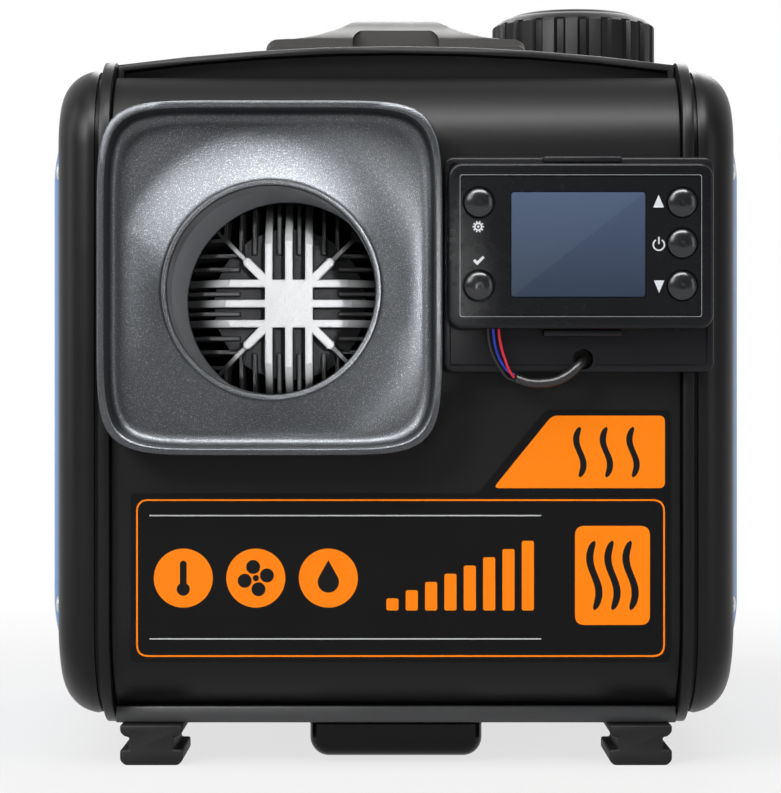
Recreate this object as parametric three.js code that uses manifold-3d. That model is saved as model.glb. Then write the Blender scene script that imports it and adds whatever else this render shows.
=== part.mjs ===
import * as THREE from 'three';
import { mergeVertices } from 'three/addons/utils/BufferGeometryUtils.js';
import Module from 'manifold-3d';

// A portable diesel air heater in one case: heater, fuel tank, pump and power supply.
// X runs to the right, Y from the front to the back, Z up. The origin is on the floor
// under the middle of the case. All sizes are in millimetres.

// Fits
const GAP = 0.3;
const BUTTON_CLEARANCE = 0.3;
const WALL = 3;

// Case, seen from the side: a rounded rectangle that the edge ribs follow
const CASE_HALF_DEPTH = 182;
const CASE_BOTTOM = 15.5;
const CASE_TOP = 296.5;
const CASE_BOTTOM_RADIUS = 46;
const CASE_TOP_RADIUS = 38;
const RIB_INNER_X = 118.3;
const RIB_THICKNESS = 4.6;
const RIB_WIDTH = 12;
const GROOVE_WIDTH = 2.1;
const GROOVE_INSET = 7;
const PILLOW_INSET = 3.5;
const PILLOW_FILLET = 16.5;
const SHELL_HALF_WIDTH = RIB_INNER_X + RIB_THICKNESS + GROOVE_WIDTH + PILLOW_FILLET;

// Coloured side panels
const WINDOW_END_MARGIN = 44;
const WINDOW_HALF_DEPTH = CASE_HALF_DEPTH - WINDOW_END_MARGIN;
const WINDOW_BOTTOM = CASE_BOTTOM + 26.5;
const WINDOW_TOP = CASE_TOP - 24.5;
const WINDOW_RADIUS = 24;
const SIDE_PANEL_CROWN = 9;
const SIDE_PANEL_WALL = 2.5;
const SIDE_PANEL_LIP = 5.5;
const SIDE_PANEL_FIT = 0.4;
const SIDE_PANEL_STAND = 1;

// Panels between the ribs
const PANEL_INSET = 5;
const PANEL_HALF_WIDTH = RIB_INNER_X - GAP;
const PANEL_TOP_LEAN = 66;
const PANEL_FACE = CASE_HALF_DEPTH - PANEL_INSET;
const PANEL_TAIL = 6;
const PANEL_BOTTOM_END = CASE_HALF_DEPTH - CASE_BOTTOM_RADIUS - PANEL_TAIL;
const TRAY_END_MARGIN = 24;
const TRAY_HALF_DEPTH = CASE_HALF_DEPTH - TRAY_END_MARGIN;
const TRAY_BOTTOM = CASE_BOTTOM + 1.7;
const TRAY_LIP_HEIGHT = 7;
const CROWN_RISE = 8;
const CROWN_EDGE_Z = CASE_TOP - 1.7;
const BROW_SETBACK = 30;
const BROW_HALF_DEPTH = CASE_HALF_DEPTH - BROW_SETBACK;
const SKIRT_HEIGHT = 10.8;
const TONGUE_DROP = 12.3;
const TONGUE_REACH = 8;
const TONGUE_ROOT = 9;
const WELL_HALF_WIDTH = 34;
const WELL_HALF_LENGTH = 60;
const WELL_RADIUS = 9;
const WELL_FLOOR_Z = CROWN_EDGE_Z - 8.8;

// Feet and belly pan
const FOOT_X = 102.5;
const FOOT_WIDTH = 26.3;
const FOOT_NECK_WIDTH = 18.6;
const FOOT_HEIGHT = TRAY_BOTTOM - GAP;
const FOOT_LENGTH = 46;
const FOOT_FRONT = TRAY_HALF_DEPTH + 6;
const FOOT_CHAMFER = 2;
const FOOT_LOWER_FLANGE = 6.5;
const FOOT_UPPER_FLANGE = 5;
const BELLY_HALF_WIDTH = 36.3;
const BELLY_BOTTOM = 2.5;
const BELLY_FRONT = -TRAY_HALF_DEPTH;
const BELLY_BACK = -20;
const BELLY_RADIUS = 8;

// Side screws
const SCREW_END_MARGIN = 32;
const SCREW_Y = CASE_HALF_DEPTH - SCREW_END_MARGIN;
const SCREW_UPPER_Z = CASE_TOP - 46.8;
const SCREW_LOWER_Z = CASE_BOTTOM + 51;
const SCREW_HEAD_RADIUS = 4;
const SCREW_HEAD_HEIGHT = 2.2;
const SCREW_SHANK_RADIUS = 1.9;

// Carry handle
const HANDLE_HALF_LENGTH = 112;
const HANDLE_BASE_HALF_WIDTH = 57;
const HANDLE_BASE_TOP = CROWN_EDGE_Z + 17.2;
const GRIP_HALF_WIDTH = 17.6;
const GRIP_RISE = 12;
const GRIP_TOP = HANDLE_BASE_TOP + GRIP_RISE;
const GRIP_THICKNESS = 13;
const GRIP_HALF_LENGTH = 77;
const RIDGE_PITCH = 6.3;
const RIDGE_RADIUS = 1.2;
const END_ARCH_DEPTH = 16;
const SHOULDER_SHARES = [[0, -0.05], [0.338, 0.017], [0.556, 0.208], [0.761, 0.542], [0.906, 0.867], [1, 1]];

// Filler neck and cap
const FILLER_X = 84;
const FILLER_Y = -20;
const NECK_RADIUS = 28;
const NECK_BORE = 24;
const CAP_RADIUS = 38.2;
const CAP_ROOT_RADIUS = 36.4;
const CAP_BOTTOM = CROWN_EDGE_Z + 9;
const CAP_SKIRT_HEIGHT = 24.7;
const CAP_SHOULDER = CAP_BOTTOM + CAP_SKIRT_HEIGHT;
const CAP_DOME_HEIGHT = 6.5;
const CAP_TOP = CAP_SHOULDER + CAP_DOME_HEIGHT;
const CAP_RIBS = 22;
const CAP_HEADROOM = 3.2;
const NECK_TOP = CAP_SHOULDER - 7.5;
const COLLAR_RADIUS = 33.4;
const COLLAR_TOP = CAP_BOTTOM - 0.8;

// Outlet bezel and duct
const OUTLET_X = -51;
const OUTLET_Z = 197.9;
const BEZEL_X = -51.3;
const BEZEL_Z = 202.5;
const BEZEL_WIDTH = 140.6;
const BEZEL_HEIGHT = 144.2;
const BEZEL_SQUARENESS = 7;
const BEZEL_DEPTH = 18;
const BEZEL_FRONT = -CASE_HALF_DEPTH - BEZEL_DEPTH;
const BEZEL_BACK = -CASE_HALF_DEPTH - GAP;
const DISH_EDGE_Y = -CASE_HALF_DEPTH - 3.4;
const OUTLET_LIP_Y = -CASE_HALF_DEPTH - 12;
const SPIGOT_BACK = -CASE_HALF_DEPTH + 12;
const OUTLET_RADIUS = 42.5;
const OUTLET_LIP = 2.4;

// Heater in the case
const HEATER_X = -47.3;
const HEATER_Z = 195.6;
const HEATER_CASE_WIDTH = 128;
const HEATER_CASE_HEIGHT = 132;
const OUTLET_DEPTH = 70;
const HEATER_CASE_FRONT = -CASE_HALF_DEPTH + OUTLET_DEPTH;
const HEATER_CASE_BACK = PANEL_FACE - 3.5;
const HEATER_MOUTH_RADIUS = 44;
const EXCHANGER_FRONT = HEATER_CASE_FRONT + 10;
const EXCHANGER_BACK = 48;
const EXCHANGER_RADIUS = 57;
const CORE_RADIUS = 34;
const CORE_FRONT = EXCHANGER_FRONT + 14;
const FIN_OFFSETS = [4.45, 15.4, 21.4, 28.4];
const STAR_RIB_OFFSETS = [-8.9, 0, 8.9];
const FIN_THICKNESS = 1.8;
const FIN_FRONT = EXCHANGER_FRONT + 8;
const RIB_BAR_WIDTH = 3.3;
const STAR_PAD = 18.5;
const STAR_ARM_WIDTH = 3.9;
const STAR_ARM_REACH = 18.3;
const WEB_THICKNESS = 2;
const FAN_RADIUS = 52;
const FAN_BLADES = 9;
const MOTOR_RADIUS = 27;
const EXHAUST_X = -25;
const EXHAUST_Y = 20;
const AIR_PIPE_X = -72;
const AIR_PIPE_Y = 66;
const PIPE_RADIUS = 12;
const PIPE_WALL = 1.5;
const PIPE_RUN_Z = 94;
const PIPE_BEND = 26;
const PIPE_END = CASE_HALF_DEPTH + 18;
const INTAKE_BORE = 44;
const INTAKE_COLLAR = 47;
const INTAKE_RIM_BORE = 46;
const INTAKE_RIM = 54;
const NIPPLE_Y = 66;
const NIPPLE_Z = 170;
const NIPPLE_RADIUS = 2.5;

// Stand, tank, pump and power supply
const STAND_TOP = HEATER_Z - HEATER_CASE_HEIGHT / 2 - GAP;
const STAND_LEFT = HEATER_X - HEATER_CASE_WIDTH / 2 + 4;
const STAND_RIGHT = HEATER_X + HEATER_CASE_WIDTH / 2 - 4;
const STAND_FRONT = -80;
const STAND_BACK = 125;
const TRAY_TOP = TRAY_BOTTOM + WALL;
const TANK_LEFT = 30;
const TANK_RIGHT = 112;
const TANK_FRONT = -CASE_HALF_DEPTH + 72;
const TANK_BACK = CASE_HALF_DEPTH - 52;
const TANK_TOP = CROWN_EDGE_Z - 19.8;
const TANK_RADIUS = 14;
const SPOUT_Y = TANK_FRONT + 15;
const SPOUT_Z = 40;
const POWER_LEFT = STAND_LEFT + 9.3;
const POWER_RIGHT = STAND_RIGHT - 8.7;
const POWER_FRONT = -66;
const POWER_BACK = 118;
const POWER_HEIGHT = 48;
const POWER_SLOT_PITCH = 15;

// Controller and its cradle
const CRADLE_LEFT = 19.4;
const CRADLE_RIGHT = 130.2;
const CRADLE_BOTTOM = 164.5;
const CRADLE_TOP = 252.6;
const CRADLE_FRONT = -CASE_HALF_DEPTH - 6;
const CONTROLLER_LEFT = 21;
const CONTROLLER_RIGHT = 128.9;
const CONTROLLER_BOTTOM = 182;
const CONTROLLER_TOP = 249.4;
const CONTROLLER_BACK = CRADLE_FRONT - GAP;
const CONTROLLER_SPLIT = CRADLE_FRONT - 6.3;
const CONTROLLER_FACE = CRADLE_FRONT - 10.6;
const CONTROLLER_RADIUS = 6;
const LCD_LEFT = 46.7;
const LCD_RIGHT = 101.2;
const LCD_BOTTOM = 194.9;
const LCD_TOP = 237.5;
const BUTTON_RADIUS = 6;
const BUTTON_TOP = CONTROLLER_FACE - 1.3;
const BUTTON_COLUMN_LEFT = 33.6;
const BUTTON_COLUMN_RIGHT = 116.2;
const BUTTON_ROW_TOP = 233.2;
const BUTTON_ROW_MIDDLE = 216.6;
const BUTTON_ROW_BOTTOM = 199.4;
const CABLE_HOLE_X = 76.7;
const CABLE_HOLE_Z = 169.8;
const WIRE_RADIUS = 0.6;
const SHEATH_RADIUS = 2;
const CABLE_HOLE_RADIUS = SHEATH_RADIUS + 2.2;
const TAB_LEFT = 60;
const TAB_RIGHT = 92;
const FACE_GROOVE_INSET = 5.1;
const FACE_GROOVE_WIDTH = 0.7;
const WIRE_SLOT_LEFT = 36.5;
const WIRE_SLOT_RIGHT = 44;

// Mains inlet on the back
const INLET_X = 68;
const INLET_Z = 84;
const ROCKER_X = 50;
const ROCKER_Y = CASE_HALF_DEPTH - 6;
const INLET_HALF_WIDTH = 27;
const INLET_HALF_HEIGHT = 13;

const WELD_TOLERANCE = 1e-4;

const heater = new THREE.Group();
const wasm = await Module();
wasm.setup();

// ---------- solids ----------

function material(colour, roughness, metalness = 0) {
  return new THREE.MeshStandardMaterial({ color: colour, roughness, metalness });
}

function enclosedVolume(corners, points) {
  let volume = 0;
  for (let i = 0; i < corners.length; i += 3) {
    const [a, b, c] = [0, 1, 2].map((k) => new THREE.Vector3().fromArray(points, 3 * corners[i + k]));
    volume += a.dot(b.cross(c)) / 6;
  }
  return volume;
}

// One closed surface with shared corners, no collapsed triangles and its faces outward.
function weld(geometry) {
  const bare = geometry.clone();
  bare.deleteAttribute('normal');
  bare.deleteAttribute('uv');
  const merged = mergeVertices(bare, WELD_TOLERANCE);
  const all = merged.index.array;
  const corners = [];
  for (let i = 0; i < all.length; i += 3) {
    const [a, b, c] = all.slice(i, i + 3);
    if (a !== b && b !== c && c !== a) corners.push(a, b, c);
  }
  if (enclosedVolume(corners, merged.attributes.position.array) < 0) corners.reverse();
  merged.setIndex(corners);
  return merged;
}

function toSolid(geometry) {
  const welded = weld(geometry);
  return new wasm.Manifold(new wasm.Mesh({
    numProp: 3,
    vertProperties: new Float32Array(welded.attributes.position.array),
    triVerts: new Uint32Array(welded.index.array),
  }));
}

function toGeometry(solid) {
  const mesh = solid.getMesh();
  const geometry = new THREE.BufferGeometry();
  geometry.setAttribute('position', new THREE.BufferAttribute(new Float32Array(mesh.vertProperties), 3));
  geometry.setIndex(new THREE.BufferAttribute(new Uint32Array(mesh.triVerts), 1));
  return geometry;
}

function join(...geometries) {
  return toGeometry(geometries.map(toSolid).reduce((whole, added) => whole.add(added)));
}

function cut(geometry, ...tools) {
  return toGeometry(tools.map(toSolid).reduce((rest, tool) => rest.subtract(tool), toSolid(geometry)));
}

function overlapOf(...geometries) {
  return toGeometry(geometries.map(toSolid).reduce((kept, other) => kept.intersect(other)));
}

function addPiece(name, geometry, look, position = [0, 0, 0], parent = heater) {
  const welded = weld(geometry);
  welded.computeVertexNormals();
  const mesh = new THREE.Mesh(welded, look);
  mesh.name = name;
  mesh.position.set(...position);
  parent.add(mesh);
  return mesh;
}

// ---------- outlines and prisms ----------

function arcPoints(cx, cy, radius, fromDegrees, toDegrees, steps = 6) {
  const points = [];
  for (let i = 0; i <= steps; i += 1) {
    const angle = THREE.MathUtils.degToRad(fromDegrees + ((toDegrees - fromDegrees) * i) / steps);
    points.push(new THREE.Vector2(cx + radius * Math.cos(angle), cy + radius * Math.sin(angle)));
  }
  return points;
}

function circlePoints(cx, cy, radius, sides = 32) {
  return arcPoints(cx, cy, radius, 0, 360, sides).slice(0, sides);
}

function roundedOutline(x0, x1, y0, y1, lowerRadius, upperRadius = lowerRadius, steps = 5) {
  return [
    ...arcPoints(x0 + lowerRadius, y0 + lowerRadius, lowerRadius, 180, 270, steps),
    ...arcPoints(x1 - lowerRadius, y0 + lowerRadius, lowerRadius, 270, 360, steps),
    ...arcPoints(x1 - upperRadius, y1 - upperRadius, upperRadius, 0, 90, steps),
    ...arcPoints(x0 + upperRadius, y1 - upperRadius, upperRadius, 90, 180, steps),
  ];
}

function boxOutline(x0, x1, y0, y1) {
  return [[x0, y0], [x1, y0], [x1, y1], [x0, y1]].map(([x, y]) => new THREE.Vector2(x, y));
}

function prism(outline, depth, holes) {
  const shape = new THREE.Shape(outline);
  holes.forEach((hole) => shape.holes.push(new THREE.Path(hole)));
  return new THREE.ExtrudeGeometry(shape, { depth, bevelEnabled: false });
}

const UNIT_X = new THREE.Vector3(1, 0, 0);
const UNIT_Y = new THREE.Vector3(0, 1, 0);
const UNIT_Z = new THREE.Vector3(0, 0, 1);
const SIDE_VIEW = new THREE.Matrix4().makeBasis(UNIT_Y, UNIT_Z, UNIT_X);
const FRONT_VIEW = new THREE.Matrix4().makeBasis(UNIT_X, UNIT_Z, UNIT_Y.clone().negate());

// An outline drawn in (y, z) and carried along X.
function prismX(outline, x0, x1, holes = []) {
  return prism(outline, x1 - x0, holes).applyMatrix4(SIDE_VIEW).translate(x0, 0, 0);
}

// An outline drawn in (x, z) and carried along Y.
function prismY(outline, y0, y1, holes = []) {
  return prism(outline, y1 - y0, holes).applyMatrix4(FRONT_VIEW).translate(0, y1, 0);
}

// An outline drawn in (x, y) and carried along Z.
function prismZ(outline, z0, z1, holes = []) {
  return prism(outline, z1 - z0, holes).translate(0, 0, z0);
}

function rodX(y, z, radius, x0, x1, sides = 16) {
  return prismX(circlePoints(y, z, radius, sides), x0, x1);
}

function rodY(x, z, radius, y0, y1, sides = 32) {
  return prismY(circlePoints(x, z, radius, sides), y0, y1);
}

function rodZ(x, y, radius, z0, z1, sides = 32) {
  return prismZ(circlePoints(x, y, radius, sides), z0, z1);
}

function block(x0, x1, y0, y1, z0, z1) {
  return prismZ(boxOutline(x0, x1, y0, y1), z0, z1);
}

// A turned solid about Y: the profile is a list of [radius, y].
function turnedY(profile, x, z, sides = 32) {
  const points = profile.map(([radius, y]) => new THREE.Vector2(radius, y));
  return new THREE.LatheGeometry(points, sides).translate(x, 0, z);
}

// A turned solid about Z: the profile is a list of [radius, z].
function turnedZ(profile, x, y, sides = 32) {
  const points = profile.map(([radius, z]) => new THREE.Vector2(radius, z));
  return new THREE.LatheGeometry(points, sides).rotateX(Math.PI / 2).translate(x, y, 0);
}

// A skin over rings of equally many points, with both ends filled, or joined end to end.
function skin(rings, endless = false) {
  const count = rings[0].length;
  const points = rings.flat();
  const corners = [];
  const bands = endless ? rings.length : rings.length - 1;
  for (let band = 0; band < bands; band += 1) {
    const near = band * count;
    const far = ((band + 1) % rings.length) * count;
    for (let i = 0; i < count; i += 1) {
      const next = (i + 1) % count;
      corners.push(near + i, near + next, far + next);
      corners.push(near + i, far + next, far + i);
    }
  }
  if (!endless) {
    const ends = [[0, 0], [points.length - count, 1]];
    ends.forEach(([start, isLast]) => {
      const middle = new THREE.Vector3();
      for (let i = 0; i < count; i += 1) middle.addScaledVector(points[start + i], 1 / count);
      points.push(middle);
      const hub = points.length - 1;
      for (let i = 0; i < count; i += 1) {
        const next = (i + 1) % count;
        if (isLast) corners.push(hub, start + i, start + next);
        else corners.push(hub, start + next, start + i);
      }
    });
  }
  const geometry = new THREE.BufferGeometry().setFromPoints(points);
  geometry.setIndex(corners);
  return geometry;
}

// ---------- case outlines ----------

function caseOutline(inset) {
  return roundedOutline(
    -CASE_HALF_DEPTH + inset, CASE_HALF_DEPTH - inset, CASE_BOTTOM + inset, CASE_TOP - inset,
    CASE_BOTTOM_RADIUS - inset, CASE_TOP_RADIUS - inset, 5,
  );
}

function ringAtX(outline, x) {
  return outline.map((point) => new THREE.Vector3(x, point.x, point.y));
}

// Rings of the rounded side of the shell, from the groove out to the flat face.
function pillowRings(startX, radius, startInset) {
  return [0, 25, 50, 75, 90].map((degrees) => {
    const angle = THREE.MathUtils.degToRad(degrees);
    const inset = startInset + radius * (1 - Math.cos(angle));
    return ringAtX(caseOutline(inset), startX + radius * Math.sin(angle));
  });
}

function windowOutline(inset) {
  const radius = Math.max(WINDOW_RADIUS - inset, 2);
  return roundedOutline(
    -WINDOW_HALF_DEPTH + inset, WINDOW_HALF_DEPTH - inset, WINDOW_BOTTOM + inset, WINDOW_TOP - inset,
    radius, radius, 3,
  );
}

// ---------- side shells, side panels and their screws ----------

function sideShell() {
  const ribOuter = RIB_INNER_X + RIB_THICKNESS;
  const pillowStart = ribOuter + GROOVE_WIDTH;
  const outside = skin([
    ringAtX(caseOutline(0), RIB_INNER_X),
    ringAtX(caseOutline(0), ribOuter),
    ringAtX(caseOutline(GROOVE_INSET), ribOuter),
    ringAtX(caseOutline(GROOVE_INSET), pillowStart),
    ...pillowRings(pillowStart, PILLOW_FILLET, PILLOW_INSET),
  ]);
  const inside = skin([
    ringAtX(caseOutline(RIB_WIDTH), RIB_INNER_X - 1),
    ringAtX(caseOutline(RIB_WIDTH), pillowStart + 0.5),
    ...pillowRings(pillowStart + WALL, PILLOW_FILLET - 2 * WALL, PILLOW_INSET + WALL),
  ]);
  const window = prismX(windowOutline(0), SHELL_HALF_WIDTH - 2 * WALL, SHELL_HALF_WIDTH + 1);
  const holes = screwSpots().map(([y, z]) => (
    rodX(y, z, SCREW_SHANK_RADIUS + GAP, SHELL_HALF_WIDTH - 2 * WALL, SHELL_HALF_WIDTH + 1, 10)));
  return cut(outside, inside, window, ...holes);
}

function screwSpots() {
  return [-SCREW_Y, SCREW_Y].flatMap((y) => [SCREW_UPPER_Z, SCREW_LOWER_Z].map((z) => [y, z]));
}

// Height of the crown over the panel's edge, for a share of the way in to the middle.
function crownHeight(share) {
  return SIDE_PANEL_CROWN * (1 - (1 - share) ** 4) ** 0.6;
}

function sidePanel() {
  const lipOuter = SHELL_HALF_WIDTH - WALL - GAP;
  const lipInner = lipOuter - SIDE_PANEL_WALL;
  const reach = (WINDOW_TOP - WINDOW_BOTTOM) / 2 - 1;
  const shares = [0, 0.03, 0.1, 0.3, 0.6, 1];
  const edgeX = SHELL_HALF_WIDTH + SIDE_PANEL_STAND;
  const crown = (drop) => shares.map((share) => (
    ringAtX(windowOutline(SIDE_PANEL_FIT + drop + share * reach), edgeX - drop + crownHeight(share))));
  const outside = skin([
    ringAtX(windowOutline(-SIDE_PANEL_LIP), lipInner),
    ringAtX(windowOutline(-SIDE_PANEL_LIP), lipOuter),
    ringAtX(windowOutline(SIDE_PANEL_FIT), lipOuter),
    ...crown(0),
  ]);
  const inside = skin([
    ringAtX(windowOutline(SIDE_PANEL_FIT + SIDE_PANEL_WALL), lipInner - 1),
    ...crown(SIDE_PANEL_WALL),
  ]);
  return cut(outside, inside);
}

function domedScrew() {
  const head = turnedY([
    [0, SCREW_HEAD_HEIGHT], [0.6 * SCREW_HEAD_RADIUS, 0.8 * SCREW_HEAD_HEIGHT], [SCREW_HEAD_RADIUS, 0],
    [SCREW_SHANK_RADIUS, 0], [SCREW_SHANK_RADIUS, -2 * WALL], [0, -2 * WALL],
  ], 0, 0, 10);
  return head.rotateZ(-Math.PI / 2);
}

function buildSides() {
  const black = material(0x161617, 0.42);
  const blue = material(0x2a75b0, 0.4);
  const steel = material(0xc4c6c8, 0.28, 1);
  [['right', 1], ['left', -1]].forEach(([side, sign]) => {
    addPiece(`${side}_side_shell`, sideShell().scale(sign, 1, 1), black);
    addPiece(`${side}_side_panel`, sidePanel().scale(sign, 1, 1), blue);
    screwSpots().forEach(([y, z]) => {
      const place = `${y < 0 ? 'front' : 'rear'}_${z > CASE_TOP / 2 ? 'upper' : 'lower'}`;
      const screw = domedScrew().scale(sign, 1, 1);
      addPiece(`${side}_screw_${place}`, screw, steel, [sign * (SHELL_HALF_WIDTH + GAP), y, z]);
    });
  });
}

// ---------- front, back, top and bottom panels ----------

// The front panel seen from the side: up the front, round both corners and leaning back.
function panelSection() {
  const bottomCentre = [-CASE_HALF_DEPTH + CASE_BOTTOM_RADIUS, CASE_BOTTOM + CASE_BOTTOM_RADIUS];
  const topCentre = [-CASE_HALF_DEPTH + CASE_TOP_RADIUS, CASE_TOP - CASE_TOP_RADIUS];
  const lowerRadius = CASE_BOTTOM_RADIUS - PANEL_INSET;
  const upperRadius = CASE_TOP_RADIUS - PANEL_INSET;
  const bottomZ = CASE_BOTTOM + PANEL_INSET;
  return [
    new THREE.Vector2(-PANEL_BOTTOM_END, bottomZ + WALL),
    new THREE.Vector2(-PANEL_BOTTOM_END, bottomZ),
    ...arcPoints(...bottomCentre, lowerRadius, 270, 180, 8),
    ...arcPoints(...topCentre, upperRadius, 180, 180 - PANEL_TOP_LEAN, 7),
    ...arcPoints(...topCentre, upperRadius - WALL, 180 - PANEL_TOP_LEAN, 180, 7),
    ...arcPoints(...bottomCentre, lowerRadius - WALL, 180, 270, 8),
  ];
}

function frontPanel() {
  const sheet = prismX(panelSection(), -PANEL_HALF_WIDTH, PANEL_HALF_WIDTH);
  const y0 = -PANEL_FACE - WALL;
  const y1 = -PANEL_FACE + 2 * WALL;
  const outletHole = rodY(OUTLET_X, OUTLET_Z, OUTLET_RADIUS + OUTLET_LIP + 2 * GAP, y0, y1);
  const cableHole = rodY(CABLE_HOLE_X, CABLE_HOLE_Z, CABLE_HOLE_RADIUS, y0, y1, 16);
  return cut(sheet, outletHole, cableHole);
}

function rearPanel() {
  const sheet = prismX(panelSection(), -PANEL_HALF_WIDTH, PANEL_HALF_WIDTH).scale(1, -1, 1);
  const y0 = PANEL_FACE - 2 * WALL;
  const y1 = PANEL_FACE + WALL;
  const intakeHole = rodY(HEATER_X, HEATER_Z, INTAKE_COLLAR + GAP, y0, y1);
  const pipeHoles = [EXHAUST_X, AIR_PIPE_X].map((x) => rodY(x, PIPE_RUN_Z, PIPE_RADIUS + 2, y0, y1, 20));
  const inletHole = block(INLET_X - INLET_HALF_WIDTH - GAP, INLET_X + INLET_HALF_WIDTH + GAP, y0, y1,
    INLET_Z - INLET_HALF_HEIGHT - GAP, INLET_Z + INLET_HALF_HEIGHT + GAP);
  return cut(sheet, intakeHole, ...pipeHoles, inletHole);
}

function crownZ(x) {
  return CROWN_EDGE_Z + CROWN_RISE * (1 - (x / PANEL_HALF_WIDTH) ** 2);
}

// Points of the crowned top from one side to the other, raised by a given height.
function crownPoints(fromX, toX, raise, steps) {
  const points = [];
  for (let i = 0; i <= steps; i += 1) {
    const x = fromX + ((toX - fromX) * i) / steps;
    points.push(new THREE.Vector2(x, crownZ(x) + raise));
  }
  return points;
}

function topCover() {
  const halfWidth = PANEL_HALF_WIDTH;
  const skirtZ = CROWN_EDGE_Z - SKIRT_HEIGHT;
  const above = CROWN_EDGE_Z + 2 * CROWN_RISE;
  const below = WELL_FLOOR_Z - 4 * WALL;
  const arch = prismY([
    ...crownPoints(halfWidth, -halfWidth, 0, 8),
    new THREE.Vector2(-halfWidth, skirtZ),
    new THREE.Vector2(-halfWidth + WALL, skirtZ),
    ...crownPoints(-halfWidth + WALL, halfWidth - WALL, -WALL, 8),
    new THREE.Vector2(halfWidth - WALL, skirtZ),
    new THREE.Vector2(halfWidth, skirtZ),
  ], -BROW_HALF_DEPTH, BROW_HALF_DEPTH);
  const tongueEnd = -BROW_HALF_DEPTH - TONGUE_REACH;
  const root = -BROW_HALF_DEPTH + TONGUE_ROOT;
  const tongueTop = CROWN_EDGE_Z - TONGUE_DROP;
  const closing = [
    [tongueEnd, tongueTop - WALL], [root, tongueTop - WALL], [root, CROWN_EDGE_Z - 0.8],
    [root - WALL, CROWN_EDGE_Z - 0.8], [root - WALL, tongueTop], [tongueEnd, tongueTop],
  ].map(([y, z]) => new THREE.Vector2(y, z));
  const frontClosing = prismX(closing, -halfWidth + 0.5 * WALL, halfWidth - 0.5 * WALL);
  const rearClosing = frontClosing.clone().scale(1, -1, 1);
  const closingTop = prismY([
    ...crownPoints(halfWidth - WALL, -halfWidth + WALL, -0.5 * WALL, 8),
    new THREE.Vector2(-halfWidth + WALL, CROWN_EDGE_Z - 2.2 * WALL),
    new THREE.Vector2(halfWidth - WALL, CROWN_EDGE_Z - 2.2 * WALL),
  ], root - WALL, root);
  const closingTopRear = closingTop.clone().scale(1, -1, 1);
  const pan = roundedOutline(-WELL_HALF_WIDTH - WALL, WELL_HALF_WIDTH + WALL,
    -WELL_HALF_LENGTH - WALL, WELL_HALF_LENGTH + WALL, WELL_RADIUS + WALL, WELL_RADIUS + WALL, 4);
  const well = roundedOutline(-WELL_HALF_WIDTH, WELL_HALF_WIDTH, -WELL_HALF_LENGTH, WELL_HALF_LENGTH,
    WELL_RADIUS, WELL_RADIUS, 4);
  const panBody = overlapOf(prismZ(pan, WELL_FLOOR_Z - WALL, above), prismY([
    ...crownPoints(halfWidth, -halfWidth, -0.5, 8),
    new THREE.Vector2(-halfWidth, below),
    new THREE.Vector2(halfWidth, below),
  ], -BROW_HALF_DEPTH + TONGUE_ROOT, BROW_HALF_DEPTH - TONGUE_ROOT));
  const whole = join(arch, frontClosing, rearClosing, closingTop, closingTopRear, panBody);
  const fillerHole = rodZ(FILLER_X, FILLER_Y, NECK_RADIUS + 1.5, below, above, 28);
  return cut(whole, prismZ(well, WELL_FLOOR_Z, above), fillerHole);
}

function basePlate() {
  const halfWidth = PANEL_HALF_WIDTH;
  const tray = block(-halfWidth, halfWidth, -TRAY_HALF_DEPTH, TRAY_HALF_DEPTH, TRAY_BOTTOM, TRAY_TOP);
  const lip = block(-halfWidth, halfWidth, -TRAY_HALF_DEPTH, -TRAY_HALF_DEPTH + WALL,
    TRAY_BOTTOM, TRAY_BOTTOM + TRAY_LIP_HEIGHT);
  return join(tray, lip, lip.clone().scale(1, -1, 1));
}

function buildPanels() {
  addPiece('front_panel', frontPanel(), material(0x18181a, 0.4));
  addPiece('rear_panel', rearPanel(), material(0x18181a, 0.45));
  addPiece('top_cover', topCover(), material(0x1b1b1d, 0.42));
  addPiece('base_plate', basePlate(), material(0x2c2d2f, 0.55));
}

// ---------- feet and belly pan ----------

function foot() {
  const half = FOOT_WIDTH / 2;
  const neck = FOOT_NECK_WIDTH / 2;
  const neckTop = FOOT_HEIGHT - FOOT_UPPER_FLANGE;
  const rightSide = [
    [half - FOOT_CHAMFER, 0], [half, FOOT_CHAMFER], [half, FOOT_LOWER_FLANGE], [neck, FOOT_LOWER_FLANGE],
    [neck, neckTop], [half - FOOT_CHAMFER, neckTop], [half, neckTop + FOOT_CHAMFER], [half, FOOT_HEIGHT],
  ];
  const leftSide = rightSide.map(([x, z]) => [-x, z]).reverse();
  const outline = [...rightSide, ...leftSide].map(([x, z]) => new THREE.Vector2(x, z));
  return prismY(outline, 0, FOOT_LENGTH);
}

function bellyPan() {
  const top = TRAY_BOTTOM - GAP;
  const section = roundedOutline(-BELLY_HALF_WIDTH, BELLY_HALF_WIDTH, BELLY_BOTTOM, top,
    BELLY_RADIUS, 0.5, 4);
  const plan = roundedOutline(-BELLY_HALF_WIDTH, BELLY_HALF_WIDTH, BELLY_FRONT, BELLY_BACK, BELLY_RADIUS);
  const floor = boxOutline(-BELLY_HALF_WIDTH + WALL, BELLY_HALF_WIDTH - WALL,
    BELLY_FRONT + WALL, BELLY_BACK - WALL);
  const pan = overlapOf(prismY(section, BELLY_FRONT, BELLY_BACK), prismZ(plan, BELLY_BOTTOM, top));
  return cut(pan, prismZ(floor, BELLY_BOTTOM + 2 * WALL, top + 1));
}

function buildUnderside() {
  const rubber = material(0x141414, 0.7);
  [['left', -1], ['right', 1]].forEach(([side, sign]) => {
    addPiece(`${side}_front_foot`, foot(), rubber, [sign * FOOT_X, -FOOT_FRONT, 0]);
    addPiece(`${side}_rear_foot`, foot(), rubber, [sign * FOOT_X, FOOT_FRONT - FOOT_LENGTH, 0]);
  });
  addPiece('belly_pan', bellyPan(), material(0x0d0d0e, 0.25));
}

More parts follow.
